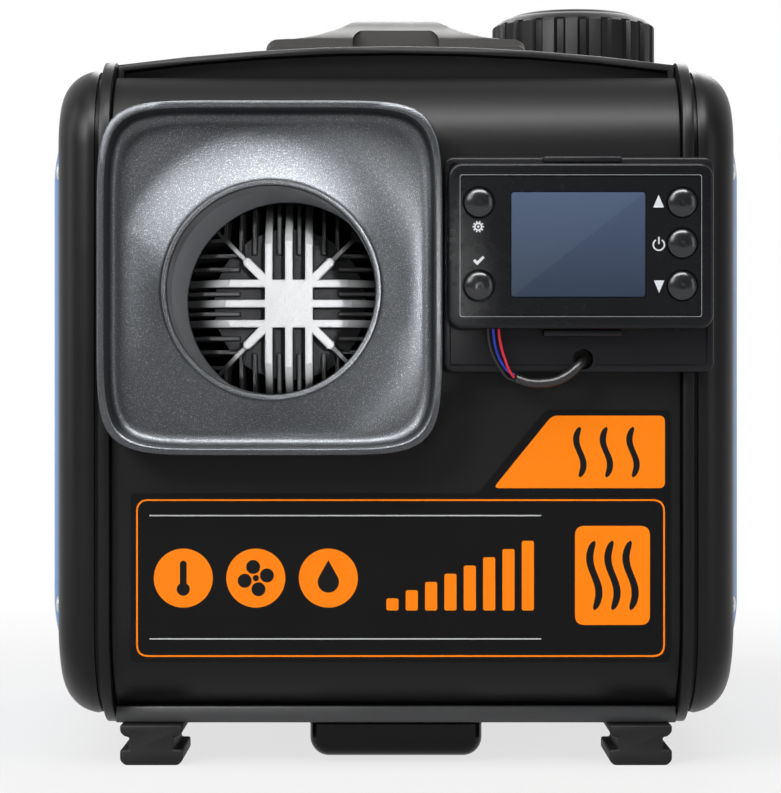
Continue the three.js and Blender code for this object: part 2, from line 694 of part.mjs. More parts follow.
// ---------- carry handle ----------

function carryHandle() {
  const half = HANDLE_BASE_HALF_WIDTH;
  const gripEdge = GRIP_HALF_WIDTH - 2;
  const shoulder = SHOULDER_SHARES.map(([across, up]) => (
    [half + (gripEdge - half) * across, HANDLE_BASE_TOP + GRIP_RISE * up]));
  const frontOutline = [
    ...shoulder.map(([x, z]) => new THREE.Vector2(x, z)),
    ...shoulder.map(([x, z]) => new THREE.Vector2(-x, z)).reverse(),
    ...crownPoints(-half - 1, half + 1, GAP, 8),
  ];
  const gripUnder = GRIP_TOP - GRIP_THICKNESS;
  const rampFoot = HANDLE_HALF_LENGTH;
  const gripEnd = -GRIP_HALF_LENGTH;
  const sideOutline = [
    [-rampFoot, CROWN_EDGE_Z], [-rampFoot, HANDLE_BASE_TOP - 4], [-rampFoot + 4, HANDLE_BASE_TOP],
    [gripEnd - 14, GRIP_TOP - 5], [gripEnd - 4, GRIP_TOP - 1], [gripEnd + 6, GRIP_TOP],
  ];
  const endArch = [
    [gripEnd - 3, CROWN_EDGE_Z], [gripEnd - 3, gripUnder - 9], [gripEnd + 1, gripUnder - 3],
    [gripEnd + 11, gripUnder], [gripEnd + 27, gripUnder + 1],
  ];
  const mirrored = (list) => list.map(([y, z]) => [-y, z]);
  const sideLoop = [
    ...sideOutline, ...mirrored(sideOutline).reverse(), ...mirrored(endArch), ...[...endArch].reverse(),
  ];
  const outline = sideLoop.map(([y, z]) => new THREE.Vector2(y, z));
  const waist = [
    [half, -rampFoot], [half, gripEnd - 15], [half - 13, gripEnd - 7], [GRIP_HALF_WIDTH + 6.4, gripEnd + 3],
    [GRIP_HALF_WIDTH, gripEnd + 15],
  ];
  const rightPlan = [...waist, ...waist.map(([x, y]) => [x, -y]).reverse()];
  const wholePlan = [...rightPlan, ...rightPlan.map(([x, y]) => [-x, y]).reverse()];
  const plan = wholePlan.map(([x, y]) => new THREE.Vector2(x, y));
  const body = overlapOf(prismY(frontOutline, -rampFoot, rampFoot), prismX(outline, -half, half),
    prismZ(plan, CROWN_EDGE_Z, GRIP_TOP + 6));
  const ridges = [-2, -1, 0, 1, 2].map((k) => (
    rodY(k * RIDGE_PITCH, GRIP_TOP - 0.3, RIDGE_RADIUS, -GRIP_HALF_LENGTH + 8, GRIP_HALF_LENGTH - 8, 8)));
  const recess = roundedOutline(-GRIP_HALF_WIDTH - 1.4, GRIP_HALF_WIDTH + 1.4,
    WELL_FLOOR_Z, GRIP_TOP - 5.5, 0.5, 8, 4);
  const archRecess = prismY(recess, -rampFoot - 1, -rampFoot + END_ARCH_DEPTH);
  return cut(join(body, ...ridges), archRecess, archRecess.clone().scale(1, -1, 1));
}

// ---------- filler cap, its seal and collar ----------

function ribbedOutline(radius, rootRadius, ribs) {
  const points = [];
  const step = 360 / ribs;
  for (let i = 0; i < ribs; i += 1) {
    const start = i * step;
    points.push(...arcPoints(FILLER_X, FILLER_Y, radius, start, start + 0.5 * step, 1));
    points.push(...arcPoints(FILLER_X, FILLER_Y, rootRadius, start + 0.58 * step, start + 0.92 * step, 1));
  }
  return points;
}

function fuelCap() {
  const skirt = prismZ(ribbedOutline(CAP_RADIUS, CAP_ROOT_RADIUS, CAP_RIBS), CAP_BOTTOM, CAP_SHOULDER);
  const dome = turnedZ([
    [0, CAP_SHOULDER - 1], [CAP_ROOT_RADIUS, CAP_SHOULDER - 1], [CAP_ROOT_RADIUS, CAP_SHOULDER + 1],
    [CAP_ROOT_RADIUS - 3, CAP_SHOULDER + 3], [CAP_ROOT_RADIUS - 6, CAP_SHOULDER + 3.6],
    [CAP_ROOT_RADIUS - 8, CAP_TOP - 1.4], [CAP_ROOT_RADIUS / 2, CAP_TOP - 0.4], [0, CAP_TOP],
  ], FILLER_X, FILLER_Y, 28);
  const bore = rodZ(FILLER_X, FILLER_Y, NECK_RADIUS + 0.6, CAP_BOTTOM - 1, NECK_TOP + CAP_HEADROOM, 20);
  return cut(join(skirt, dome), bore);
}

function fillerCollar() {
  const ring = prismZ(circlePoints(FILLER_X, FILLER_Y, COLLAR_RADIUS), WELL_FLOOR_Z - 1, COLLAR_TOP,
    [circlePoints(FILLER_X, FILLER_Y, NECK_RADIUS + 0.6, 28)]);
  const underCrown = prismY([
    ...crownPoints(PANEL_HALF_WIDTH + 2, -PANEL_HALF_WIDTH, GAP, 12),
    new THREE.Vector2(-PANEL_HALF_WIDTH, WELL_FLOOR_Z - 4 * WALL),
    new THREE.Vector2(PANEL_HALF_WIDTH + 2, WELL_FLOOR_Z - 4 * WALL),
  ], -CASE_HALF_DEPTH, CASE_HALF_DEPTH);
  return cut(ring, underCrown);
}

function buildTop() {
  addPiece('carry_handle', carryHandle(), material(0x5c5a58, 0.45));
  addPiece('filler_collar', fillerCollar(), material(0x2a75b0, 0.4));
  addPiece('fuel_cap', fuelCap(), material(0x1d1d1f, 0.5));
  const sealTop = NECK_TOP + CAP_HEADROOM - 0.4;
  const seal = rodZ(FILLER_X, FILLER_Y, NECK_RADIUS - 0.5, NECK_TOP + GAP, sealTop, 24);
  addPiece('cap_seal', seal, material(0x202020, 0.8));
}

// ---------- outlet bezel and duct ----------

const BEZEL_SIDES = 36;

// A squarish ring of the bezel, shrunk by an inset, at a depth y.
function bezelRing(inset, y) {
  const a = BEZEL_WIDTH / 2 - inset;
  const b = BEZEL_HEIGHT / 2 - inset;
  const ring = [];
  for (let i = 0; i < BEZEL_SIDES; i += 1) {
    const angle = (2 * Math.PI * i) / BEZEL_SIDES;
    const across = Math.abs(Math.cos(angle) / a) ** BEZEL_SQUARENESS;
    const up = Math.abs(Math.sin(angle) / b) ** BEZEL_SQUARENESS;
    const radius = (across + up) ** (-1 / BEZEL_SQUARENESS);
    ring.push(new THREE.Vector3(BEZEL_X + radius * Math.cos(angle), y, BEZEL_Z + radius * Math.sin(angle)));
  }
  return ring;
}

function outletRing(radius, y) {
  const ring = [];
  for (let i = 0; i < BEZEL_SIDES; i += 1) {
    const angle = (2 * Math.PI * i) / BEZEL_SIDES;
    const [dx, dz] = [radius * Math.cos(angle), radius * Math.sin(angle)];
    ring.push(new THREE.Vector3(OUTLET_X + dx, y, OUTLET_Z + dz));
  }
  return ring;
}

// Rings of the dish, which swells forward from its squarish edge to the round lip.
function dishRings() {
  const edge = bezelRing(9, DISH_EDGE_Y);
  const lip = outletRing(OUTLET_RADIUS + OUTLET_LIP + 0.6, OUTLET_LIP_Y + 1);
  return [0, 0.3, 0.65, 1].map((share) => edge.map((point, i) => {
    const mixed = point.clone().lerp(lip[i], share);
    const swell = Math.sin((share * Math.PI) / 2);
    mixed.y = DISH_EDGE_Y + (OUTLET_LIP_Y + 1 - DISH_EDGE_Y) * swell;
    return mixed;
  }));
}

function outletBezel() {
  const body = skin([
    bezelRing(0, BEZEL_BACK),
    bezelRing(0, BEZEL_FRONT + 1.5),
    bezelRing(1.2, BEZEL_FRONT),
    bezelRing(2.6, BEZEL_FRONT),
    bezelRing(3.8, BEZEL_FRONT + 1.8),
    bezelRing(5, DISH_EDGE_Y - 3),
    ...dishRings(),
    outletRing(OUTLET_RADIUS + 1.4, OUTLET_LIP_Y),
    outletRing(OUTLET_RADIUS, OUTLET_LIP_Y + 1),
    outletRing(OUTLET_RADIUS, SPIGOT_BACK),
    outletRing(OUTLET_RADIUS + OUTLET_LIP, SPIGOT_BACK),
    outletRing(OUTLET_RADIUS + OUTLET_LIP, BEZEL_BACK),
  ], true);
  const right = BEZEL_X + BEZEL_WIDTH / 2 - 2;
  const bottom = BEZEL_Z - BEZEL_HEIGHT / 2 + 2;
  const top = BEZEL_Z + BEZEL_HEIGHT / 2 - 12;
  const seat = prismY(roundedOutline(-PANEL_HALF_WIDTH + 0.5, right, bottom, top, 18, 8, 4),
    BEZEL_BACK - 0.5, -PANEL_FACE - GAP,
    [circlePoints(OUTLET_X, OUTLET_Z, OUTLET_RADIUS + 1.2)]);
  return join(body, seat);
}

function outletDuct() {
  const circle = (x, z, radius, y) => (
    circlePoints(x, z, radius, 28).map((point) => new THREE.Vector3(point.x, y, point.y)));
  const front = -PANEL_FACE + WALL + GAP;
  const back = HEATER_CASE_FRONT - GAP;
  const frontBore = OUTLET_RADIUS + OUTLET_LIP + 1.4;
  return skin([
    circle(OUTLET_X, OUTLET_Z, frontBore, front),
    circle(OUTLET_X, OUTLET_Z, frontBore + 2.5, front),
    circle(HEATER_X, HEATER_Z, HEATER_MOUTH_RADIUS + 2.5, back),
    circle(HEATER_X, HEATER_Z, HEATER_MOUTH_RADIUS, back),
  ], true);
}

// ---------- heater ----------

function heaterOutline(inset) {
  const halfWidth = HEATER_CASE_WIDTH / 2 - inset;
  const halfHeight = HEATER_CASE_HEIGHT / 2 - inset;
  return roundedOutline(HEATER_X - halfWidth, HEATER_X + halfWidth,
    HEATER_Z - halfHeight, HEATER_Z + halfHeight, 18 - inset, 18 - inset, 4);
}

function heaterCasing() {
  const tube = prismY(heaterOutline(0), HEATER_CASE_FRONT, HEATER_CASE_BACK);
  const inside = prismY(heaterOutline(WALL), HEATER_CASE_FRONT + WALL, HEATER_CASE_BACK + 1);
  const mouthEnd = HEATER_CASE_FRONT + 2 * WALL;
  const mouth = rodY(HEATER_X, HEATER_Z, HEATER_MOUTH_RADIUS, HEATER_CASE_FRONT - 1, mouthEnd, 36);
  const under = HEATER_Z - HEATER_CASE_HEIGHT / 2;
  const pipeHoles = [[EXHAUST_X, EXHAUST_Y], [AIR_PIPE_X, AIR_PIPE_Y]].map(([x, y]) => (
    rodZ(x, y, PIPE_RADIUS + 1, under - WALL, under + 3 * WALL, 16)));
  const left = HEATER_X - HEATER_CASE_WIDTH / 2;
  const nippleHole = rodX(NIPPLE_Y, NIPPLE_Z, NIPPLE_RADIUS + 1, left - 1, left + 2 * WALL, 12);
  return cut(tube, inside, mouth, ...pipeHoles, nippleHole);
}

// A flat bar along the heater, turned about its axis: half length, thickness and offset.
function bar(innerEnd, outerEnd, offset, thickness, y0, y1, degrees) {
  const flat = block(innerEnd, outerEnd, y0, y1, offset - thickness / 2, offset + thickness / 2);
  return flat.rotateY(THREE.MathUtils.degToRad(degrees)).translate(HEATER_X, 0, HEATER_Z);
}

function starEnd() {
  const pad = STAR_PAD / 2;
  const [end, front, back] = [EXCHANGER_RADIUS, EXCHANGER_FRONT, EXCHANGER_BACK];
  const ribs = STAR_RIB_OFFSETS.flatMap((offset) => [0, 90].map((turn) => (
    bar(-end, end, offset, RIB_BAR_WIDTH, front, back, turn))));
  const reach = STAR_ARM_REACH * Math.SQRT2;
  const arms = [45, -45].map((turn) => (
    bar(-reach, reach, 0, STAR_ARM_WIDTH, front, CORE_FRONT + 2, turn)));
  const tips = [45, 135, 225, 315].map((turn) => (
    rodY(reach, 0, STAR_ARM_WIDTH / 2, front, CORE_FRONT + 2, 10)
      .rotateY(THREE.MathUtils.degToRad(turn)).translate(HEATER_X, 0, HEATER_Z)));
  const webs = [45, -45].map((turn) => (
    bar(-end, end, 0, WEB_THICKNESS, FIN_FRONT - 4, back, turn)));
  const centre = block(-pad, pad, front, CORE_FRONT + 2, -pad, pad).translate(HEATER_X, 0, HEATER_Z);
  return [...ribs, ...arms, ...tips, ...webs, centre];
}

// Thin fins between the ribs: each starts outside the diagonal web of its quarter.
function thinFins() {
  const offsets = [...FIN_OFFSETS, ...FIN_OFFSETS.map((offset) => -offset)];
  return offsets.flatMap((offset) => {
    const start = Math.max(Math.abs(offset), CORE_RADIUS - 12);
    return [0, 90, 180, 270].map((turn) => (
      bar(start, EXCHANGER_RADIUS, offset, FIN_THICKNESS, FIN_FRONT, EXCHANGER_BACK, turn)));
  });
}

function heatExchanger() {
  const core = rodY(HEATER_X, HEATER_Z, CORE_RADIUS, CORE_FRONT, EXCHANGER_BACK + 1, 24);
  const envelope = turnedY([
    [0, EXCHANGER_FRONT], [EXCHANGER_RADIUS - 29, EXCHANGER_FRONT],
    [EXCHANGER_RADIUS - 13, EXCHANGER_FRONT + 12],
    [EXCHANGER_RADIUS, EXCHANGER_FRONT + 20], [EXCHANGER_RADIUS, EXCHANGER_BACK + 1],
    [0, EXCHANGER_BACK + 1],
  ], HEATER_X, HEATER_Z, 32);
  const finned = overlapOf(join(core, ...starEnd(), ...thinFins()), envelope);
  const flange = prismY(heaterOutline(WALL + 6), EXCHANGER_BACK, EXCHANGER_BACK + 6);
  const boss = rodZ(EXHAUST_X, EXHAUST_Y, PIPE_RADIUS, STAND_TOP - WALL - 4, HEATER_Z, 16);
  const chamber = rodY(HEATER_X, HEATER_Z, CORE_RADIUS - 8, CORE_FRONT + 14, EXCHANGER_BACK + 10, 20);
  const bossBore = rodZ(EXHAUST_X, EXHAUST_Y, PIPE_RADIUS - 2, STAND_TOP - WALL - 6, HEATER_Z - 24, 12);
  return cut(join(finned, flange, boss), chamber, bossBore);
}

function burnerHead() {
  const back = EXCHANGER_BACK + 6 + GAP;
  const head = turnedY([
    [0, back], [EXCHANGER_RADIUS - 7, back], [EXCHANGER_RADIUS - 7, back + 14],
    [EXCHANGER_RADIUS - 19, back + 24], [0, back + 24],
  ], HEATER_X, HEATER_Z, 28);
  const stub = rodZ(AIR_PIPE_X, AIR_PIPE_Y, PIPE_RADIUS, STAND_TOP - WALL - 4, HEATER_Z, 16);
  const stubBore = rodZ(AIR_PIPE_X, AIR_PIPE_Y, PIPE_RADIUS - 2, STAND_TOP - WALL - 6, HEATER_Z - 20, 12);
  const nippleEnd = HEATER_X - HEATER_CASE_WIDTH / 2 - 1;
  const nipple = rodX(NIPPLE_Y, NIPPLE_Z, NIPPLE_RADIUS, nippleEnd, HEATER_X, 12);
  return cut(join(head, stub, nipple), stubBore);
}

const MOTOR_FRONT = EXCHANGER_BACK + 6 + 24 + 2 * GAP;
const MOTOR_BACK = MOTOR_FRONT + 38;
const FAN_FRONT = MOTOR_BACK + 3;
const FAN_BACK = FAN_FRONT + 22;

function blowerMotor() {
  const can = turnedY([
    [0, MOTOR_FRONT], [MOTOR_RADIUS, MOTOR_FRONT], [MOTOR_RADIUS, MOTOR_BACK - 4],
    [MOTOR_RADIUS - 6, MOTOR_BACK], [0, MOTOR_BACK],
  ], HEATER_X, HEATER_Z, 24);
  const reach = HEATER_CASE_WIDTH / 2 - WALL - 1;
  const strut = block(HEATER_X - reach, HEATER_X + reach, MOTOR_FRONT + 10, MOTOR_FRONT + 22,
    HEATER_Z - 5, HEATER_Z + 5);
  return cut(join(can, strut), rodY(HEATER_X, HEATER_Z, 3.6, MOTOR_FRONT + 10, MOTOR_BACK + 1, 12));
}

function airFan() {
  const hub = turnedY([
    [0, FAN_FRONT], [16, FAN_FRONT], [16, FAN_BACK - 4], [11, FAN_BACK], [0, FAN_BACK],
  ], HEATER_X, HEATER_Z, 24);
  const shaft = rodY(HEATER_X, HEATER_Z, 3, MOTOR_FRONT + 14, FAN_FRONT + 2, 12);
  const blades = [];
  for (let i = 0; i < FAN_BLADES; i += 1) {
    const blade = block(14, FAN_RADIUS, -8, 8, -1, 1);
    blade.rotateX(THREE.MathUtils.degToRad(52));
    blade.translate(0, (FAN_FRONT + FAN_BACK) / 2, 0);
    blade.rotateY((2 * Math.PI * i) / FAN_BLADES);
    blades.push(blade.translate(HEATER_X, 0, HEATER_Z));
  }
  return join(hub, shaft, ...blades);
}

function controlUnit() {
  const top = HEATER_Z + HEATER_CASE_HEIGHT / 2 - WALL - GAP;
  const outline = roundedOutline(HEATER_X - 35, HEATER_X + 35, top - 18, top, 3);
  return prismY(outline, MOTOR_FRONT + 2, MOTOR_BACK - 4);
}

// A bent pipe: down from the heater, round a bend and out through the back panel.
function bentPipe(x, y, wall, end) {
  const top = STAND_TOP - WALL - 4 - GAP;
  const turns = [0, 22.5, 45, 67.5, 90];
  const ringsOf = (radius) => [
    circlePoints(x, y, radius, 14).map((point) => new THREE.Vector3(point.x, point.y, top)),
    ...turns.map((degrees) => {
      const turn = THREE.MathUtils.degToRad(degrees);
      return circlePoints(0, 0, radius, 14).map((point) => new THREE.Vector3(
        x + point.x,
        y + PIPE_BEND - (PIPE_BEND - point.y) * Math.cos(turn),
        PIPE_RUN_Z + PIPE_BEND - (PIPE_BEND - point.y) * Math.sin(turn),
      ));
    }),
    circlePoints(0, 0, radius, 14).map((point) => new THREE.Vector3(x + point.x, end, PIPE_RUN_Z + point.y)),
  ];
  return skin([...ringsOf(PIPE_RADIUS), ...ringsOf(PIPE_RADIUS - wall).reverse()], true);
}

function intakeGrille() {
  const y0 = PANEL_FACE + GAP;
  const y1 = y0 + 7;
  const rim = prismY(circlePoints(0, 0, INTAKE_RIM, 24), y0, y1, [circlePoints(0, 0, INTAKE_RIM_BORE, 24)]);
  const hoops = [INTAKE_BORE - 12, INTAKE_BORE - 27].map((radius) => (
    prismY(circlePoints(0, 0, radius, 12), y0 + 2, y1 - 1, [circlePoints(0, 0, radius - 2.5, 12)])));
  const spoke = INTAKE_RIM_BORE + 2;
  const spokes = [45, 135].map((turn) => (
    block(-spoke, spoke, y0 + 2, y1 - 1, -1.5, 1.5).rotateY(THREE.MathUtils.degToRad(turn))));
  const collar = prismY(circlePoints(0, 0, INTAKE_COLLAR, 24), HEATER_CASE_BACK + GAP, y0 + 1,
    [circlePoints(0, 0, INTAKE_BORE, 24)]);
  return join(rim, ...hoops, ...spokes, collar).translate(HEATER_X, 0, HEATER_Z);
}

function heaterStand() {
  const [left, right] = [STAND_LEFT, STAND_RIGHT];
  const outline = [
    [left, TRAY_TOP + GAP], [left + WALL, TRAY_TOP + GAP], [left + WALL, STAND_TOP - WALL],
    [right - WALL, STAND_TOP - WALL], [right - WALL, TRAY_TOP + GAP], [right, TRAY_TOP + GAP],
    [right, STAND_TOP], [left, STAND_TOP],
  ].map(([x, z]) => new THREE.Vector2(x, z));
  const holes = [[EXHAUST_X, EXHAUST_Y], [AIR_PIPE_X, AIR_PIPE_Y]].map(([x, y]) => (
    rodZ(x, y, PIPE_RADIUS + 1.5, STAND_TOP - 2 * WALL, STAND_TOP + 1, 16)));
  return cut(prismY(outline, STAND_FRONT, STAND_BACK), ...holes);
}

function buildHeater() {
  addPiece('outlet_bezel', outletBezel(), material(0x77797c, 0.45, 0.2));
  addPiece('outlet_duct', outletDuct(), material(0x3a3b3d, 0.5));
  addPiece('heater_casing', heaterCasing(), material(0x1c1c1e, 0.5));
  addPiece('heat_exchanger', heatExchanger(), material(0xd2d4d6, 0.35, 0.9));
  addPiece('burner_head', burnerHead(), material(0x9a9c9e, 0.45, 0.8));
  addPiece('blower_motor', blowerMotor(), material(0x8d8f92, 0.4, 0.8));
  addPiece('air_fan', airFan(), material(0x222224, 0.5));
  addPiece('control_unit', controlUnit(), material(0x2a2a2c, 0.5));
  addPiece('intake_grille', intakeGrille(), material(0x18181a, 0.5));
  addPiece('heater_stand', heaterStand(), material(0x8a8d90, 0.4, 0.9));
  addPiece('exhaust_pipe', bentPipe(EXHAUST_X, EXHAUST_Y, PIPE_WALL, PIPE_END), material(0xb4b6b8, 0.35, 1));
  addPiece('air_pipe', bentPipe(AIR_PIPE_X, AIR_PIPE_Y, 2, PIPE_END - 6), material(0x1a1a1b, 0.55));
}

// ---------- fuel tank, pump, hoses and power supply ----------

function fuelTank() {
  const tankOutline = (inset) => roundedOutline(TANK_LEFT + inset, TANK_RIGHT - inset,
    TANK_FRONT + inset, TANK_BACK - inset, TANK_RADIUS - inset, TANK_RADIUS - inset, 4);
  const bottom = TRAY_TOP + GAP;
  const body = prismZ(tankOutline(0), bottom, TANK_TOP);
  const neck = rodZ(FILLER_X, FILLER_Y, NECK_RADIUS, TANK_TOP - 1, NECK_TOP, 28);
  const bore = rodZ(FILLER_X, FILLER_Y, NECK_BORE, TANK_TOP - 2 * WALL, NECK_TOP + 1, 24);
  const spout = rodX(SPOUT_Y, SPOUT_Z, 4, TANK_LEFT - 10, TANK_LEFT + 1, 10);
  return cut(join(body, neck, spout), prismZ(tankOutline(WALL), bottom + WALL, TANK_TOP - WALL), bore);
}

const PUMP_Y = -CASE_HALF_DEPTH + 64;
const PUMP_Z = 42;
const PUMP_LEFT = -92;
const PUMP_RIGHT = -36;

function fuelPump() {
  const barrel = rodX(PUMP_Y, PUMP_Z, 14, PUMP_LEFT, PUMP_RIGHT, 20);
  const stubs = rodX(PUMP_Y, PUMP_Z, 4, PUMP_LEFT - 8, PUMP_RIGHT + 8, 10);
  const bracket = block(-74, -54, PUMP_Y - 10, PUMP_Y + 10, TRAY_TOP + GAP, PUMP_Z);
  return join(barrel, stubs, bracket);
}

// A round cord along a smooth curve through hand-placed points.
function cord(points, radius, steps, sides = 8) {
  const spots = points.map((point) => new THREE.Vector3(...point));
  const path = new THREE.CatmullRomCurve3(spots, false, 'centripetal');
  const shape = new THREE.Shape(circlePoints(0, 0, radius, sides));
  return new THREE.ExtrudeGeometry(shape, { steps, extrudePath: path, bevelEnabled: false });
}

function powerSupply() {
  const z0 = TRAY_TOP + GAP;
  const shell = block(POWER_LEFT, POWER_RIGHT, POWER_FRONT, POWER_BACK, z0, z0 + POWER_HEIGHT);
  const slotCount = Math.floor((POWER_RIGHT - POWER_LEFT - 12) / POWER_SLOT_PITCH);
  const slots = Array.from({ length: slotCount }, (_, k) => {
    const start = POWER_LEFT + 12 + POWER_SLOT_PITCH * k;
    return block(start, start + 8, POWER_FRONT - 1, POWER_FRONT + 4, z0 + 10, z0 + POWER_HEIGHT - 10);
  });
  return cut(shell, ...slots);
}

function buildFuelAndPower() {
  addPiece('fuel_tank', fuelTank(), material(0xd8d9d4, 0.5));
  addPiece('fuel_pump', fuelPump(), material(0xa9abad, 0.35, 0.9));
  const green = material(0x4f8f5a, 0.4);
  const suction = cord([
    [TANK_LEFT - 10.4, SPOUT_Y, SPOUT_Z], [14, SPOUT_Y, SPOUT_Z], [0, -100, 40.5], [-12, -112, 41.5],
    [-22, PUMP_Y, PUMP_Z], [PUMP_RIGHT + 8.4, PUMP_Y, PUMP_Z],
  ], 3, 12);
  addPiece('suction_hose', suction, green);
  const delivery = cord([
    [PUMP_LEFT - 8.5, PUMP_Y, PUMP_Z], [-106, PUMP_Y, PUMP_Z + 1], [-113, -110, 50], [-115.5, -90, 66],
    [-116.5, -50, 92], [-120, -15, 112], [-126.5, 15, 126], [-130.5, 36, 139.5],
    [-131, NIPPLE_Y - 10.8, NIPPLE_Z - 14.4], [-128.6, NIPPLE_Y - 5.4, NIPPLE_Z - 7.2],
    [-122, NIPPLE_Y - 1.4, NIPPLE_Z - 1.9], [-112.8, NIPPLE_Y, NIPPLE_Z],
  ], 2, 26);
  addPiece('delivery_hose', delivery, green);
  addPiece('power_supply', powerSupply(), material(0xa0a3a6, 0.4, 0.9));
}

// ---------- mains inlet ----------

function mainsInlet() {
  const face = PANEL_FACE + GAP;
  const halfWidth = INLET_HALF_WIDTH + 4;
  const halfHeight = INLET_HALF_HEIGHT + 4;
  const flange = prismY(roundedOutline(INLET_X - halfWidth, INLET_X + halfWidth,
    INLET_Z - halfHeight, INLET_Z + halfHeight, 3, 3, 3), face, face + 2.5);
  const body = block(INLET_X - INLET_HALF_WIDTH, INLET_X + INLET_HALF_WIDTH, face - 27.3, face + 1,
    INLET_Z - INLET_HALF_HEIGHT, INLET_Z + INLET_HALF_HEIGHT);
  const mouth = block(INLET_X - 5, INLET_X + INLET_HALF_WIDTH - 4, face - 17.3, face + 5,
    INLET_Z - INLET_HALF_HEIGHT + 3, INLET_Z + INLET_HALF_HEIGHT - 3);
  const pins = [[0, 3], [-7, -2], [7, -2]].map(([dx, dz]) => block(
    INLET_X + 8 + dx, INLET_X + 10 + dx, face - 19.3, face - 3.3, INLET_Z + dz - 2, INLET_Z + dz + 2));
  const rockerWell = block(ROCKER_X - 7.5, ROCKER_X + 7.5, ROCKER_Y - 9, face + 5, INLET_Z - 8, INLET_Z + 8);
  return join(cut(join(flange, body), mouth, rockerWell), ...pins);
}

function rockerSwitch() {
  const outline = [[-4, -4], [0, -7], [3.4, -7], [2, 0], [3.4, 7], [0, 7], [-4, 4]];
  const half = 6.8;
  return prismX(outline.map(([y, z]) => new THREE.Vector2(y, z)), -half, half);
}

function buildInlet() {
  addPiece('mains_inlet', mainsInlet(), material(0x151516, 0.5));
  const place = [ROCKER_X, ROCKER_Y, INLET_Z];
  const rocker = addPiece('rocker_switch', rockerSwitch(), material(0xb02222, 0.35), place);
  rocker.rotation.x = THREE.MathUtils.degToRad(10);
}

// ---------- controller, cradle and cable ----------

function controllerOutline(inset) {
  return roundedOutline(CONTROLLER_LEFT + inset, CONTROLLER_RIGHT - inset,
    CONTROLLER_BOTTOM + inset, CONTROLLER_TOP - inset, CONTROLLER_RADIUS - Math.min(inset, 3));
}

function buttonSpots() {
  return {
    menu_button: [BUTTON_COLUMN_LEFT, BUTTON_ROW_TOP],
    confirm_button: [BUTTON_COLUMN_LEFT, BUTTON_ROW_BOTTOM],
    up_button: [BUTTON_COLUMN_RIGHT, BUTTON_ROW_TOP],
    power_button: [BUTTON_COLUMN_RIGHT, BUTTON_ROW_MIDDLE],
    down_button: [BUTTON_COLUMN_RIGHT, BUTTON_ROW_BOTTOM],
  };
}

function controllerCradle() {
  const plate = prismY(roundedOutline(CRADLE_LEFT, CRADLE_RIGHT, CRADLE_BOTTOM, CRADLE_TOP, 4),
    CRADLE_FRONT, -CASE_HALF_DEPTH - GAP);
  const seat = block(CRADLE_LEFT + 1, PANEL_HALF_WIDTH - GAP, -CASE_HALF_DEPTH - 1, -PANEL_FACE - GAP,
    CRADLE_BOTTOM + 1, CRADLE_TOP - 3);
  const topTab = block(TAB_LEFT, TAB_RIGHT, CRADLE_FRONT - 8, CRADLE_FRONT + 1,
    CONTROLLER_TOP + GAP, CRADLE_TOP - 0.2);
  const bottomTab = block(TAB_LEFT, TAB_RIGHT + 0.5, CRADLE_FRONT - 7, CRADLE_FRONT + 1,
    CONTROLLER_BOTTOM - 3, CONTROLLER_BOTTOM - GAP);
  const cableHole = rodY(CABLE_HOLE_X, CABLE_HOLE_Z, CABLE_HOLE_RADIUS,
    CRADLE_FRONT - 1, -PANEL_FACE + WALL, 16);
  return cut(join(plate, seat, topTab, bottomTab), cableHole);
}

function controllerBack() {
  const tray = prismY(controllerOutline(0), CONTROLLER_SPLIT, CONTROLLER_BACK);
  const inside = prismY(controllerOutline(2.5), CONTROLLER_SPLIT - 1, CONTROLLER_BACK - 2);
  const wireSlot = block(WIRE_SLOT_LEFT, WIRE_SLOT_RIGHT, CONTROLLER_SPLIT - 1, CONTROLLER_BACK - 2,
    CONTROLLER_BOTTOM - 1, CONTROLLER_BOTTOM + 5);
  return cut(tray, inside, wireSlot);
}

function controllerFace() {
  const plate = prismY(controllerOutline(0), CONTROLLER_FACE + 1, CONTROLLER_SPLIT - GAP);
  const front = prismY(controllerOutline(0.8), CONTROLLER_FACE, CONTROLLER_FACE + 2);
  const holes = Object.values(buttonSpots()).map(([x, z]) => (
    rodY(x, z, BUTTON_RADIUS + BUTTON_CLEARANCE, CONTROLLER_FACE - 1, CONTROLLER_SPLIT + 1, 14)));
  const screen = block(LCD_LEFT - GAP, LCD_RIGHT + GAP, CONTROLLER_FACE - 1, CONTROLLER_FACE + 1.8,
    LCD_BOTTOM - GAP, LCD_TOP + GAP);
  const rectangle = (inset) => boxOutline(CONTROLLER_LEFT + inset, CONTROLLER_RIGHT - inset,
    CONTROLLER_BOTTOM + inset, CONTROLLER_TOP - inset);
  const groove = prismY(rectangle(FACE_GROOVE_INSET), CONTROLLER_FACE - 1, CONTROLLER_FACE + 0.6,
    [rectangle(FACE_GROOVE_INSET + FACE_GROOVE_WIDTH)]);
  return cut(join(plate, front), ...holes, screen, groove);
}

function pushButton() {
  const flangeY = CONTROLLER_SPLIT + 0.1;
  return turnedY([
    [0, BUTTON_TOP], [3.6, BUTTON_TOP + 0.45], [BUTTON_RADIUS, BUTTON_TOP + 2],
    [BUTTON_RADIUS, flangeY], [BUTTON_RADIUS + 1, flangeY], [BUTTON_RADIUS + 1, flangeY + 0.8],
    [0, flangeY + 0.8],
  ], 0, 0, 14);
}

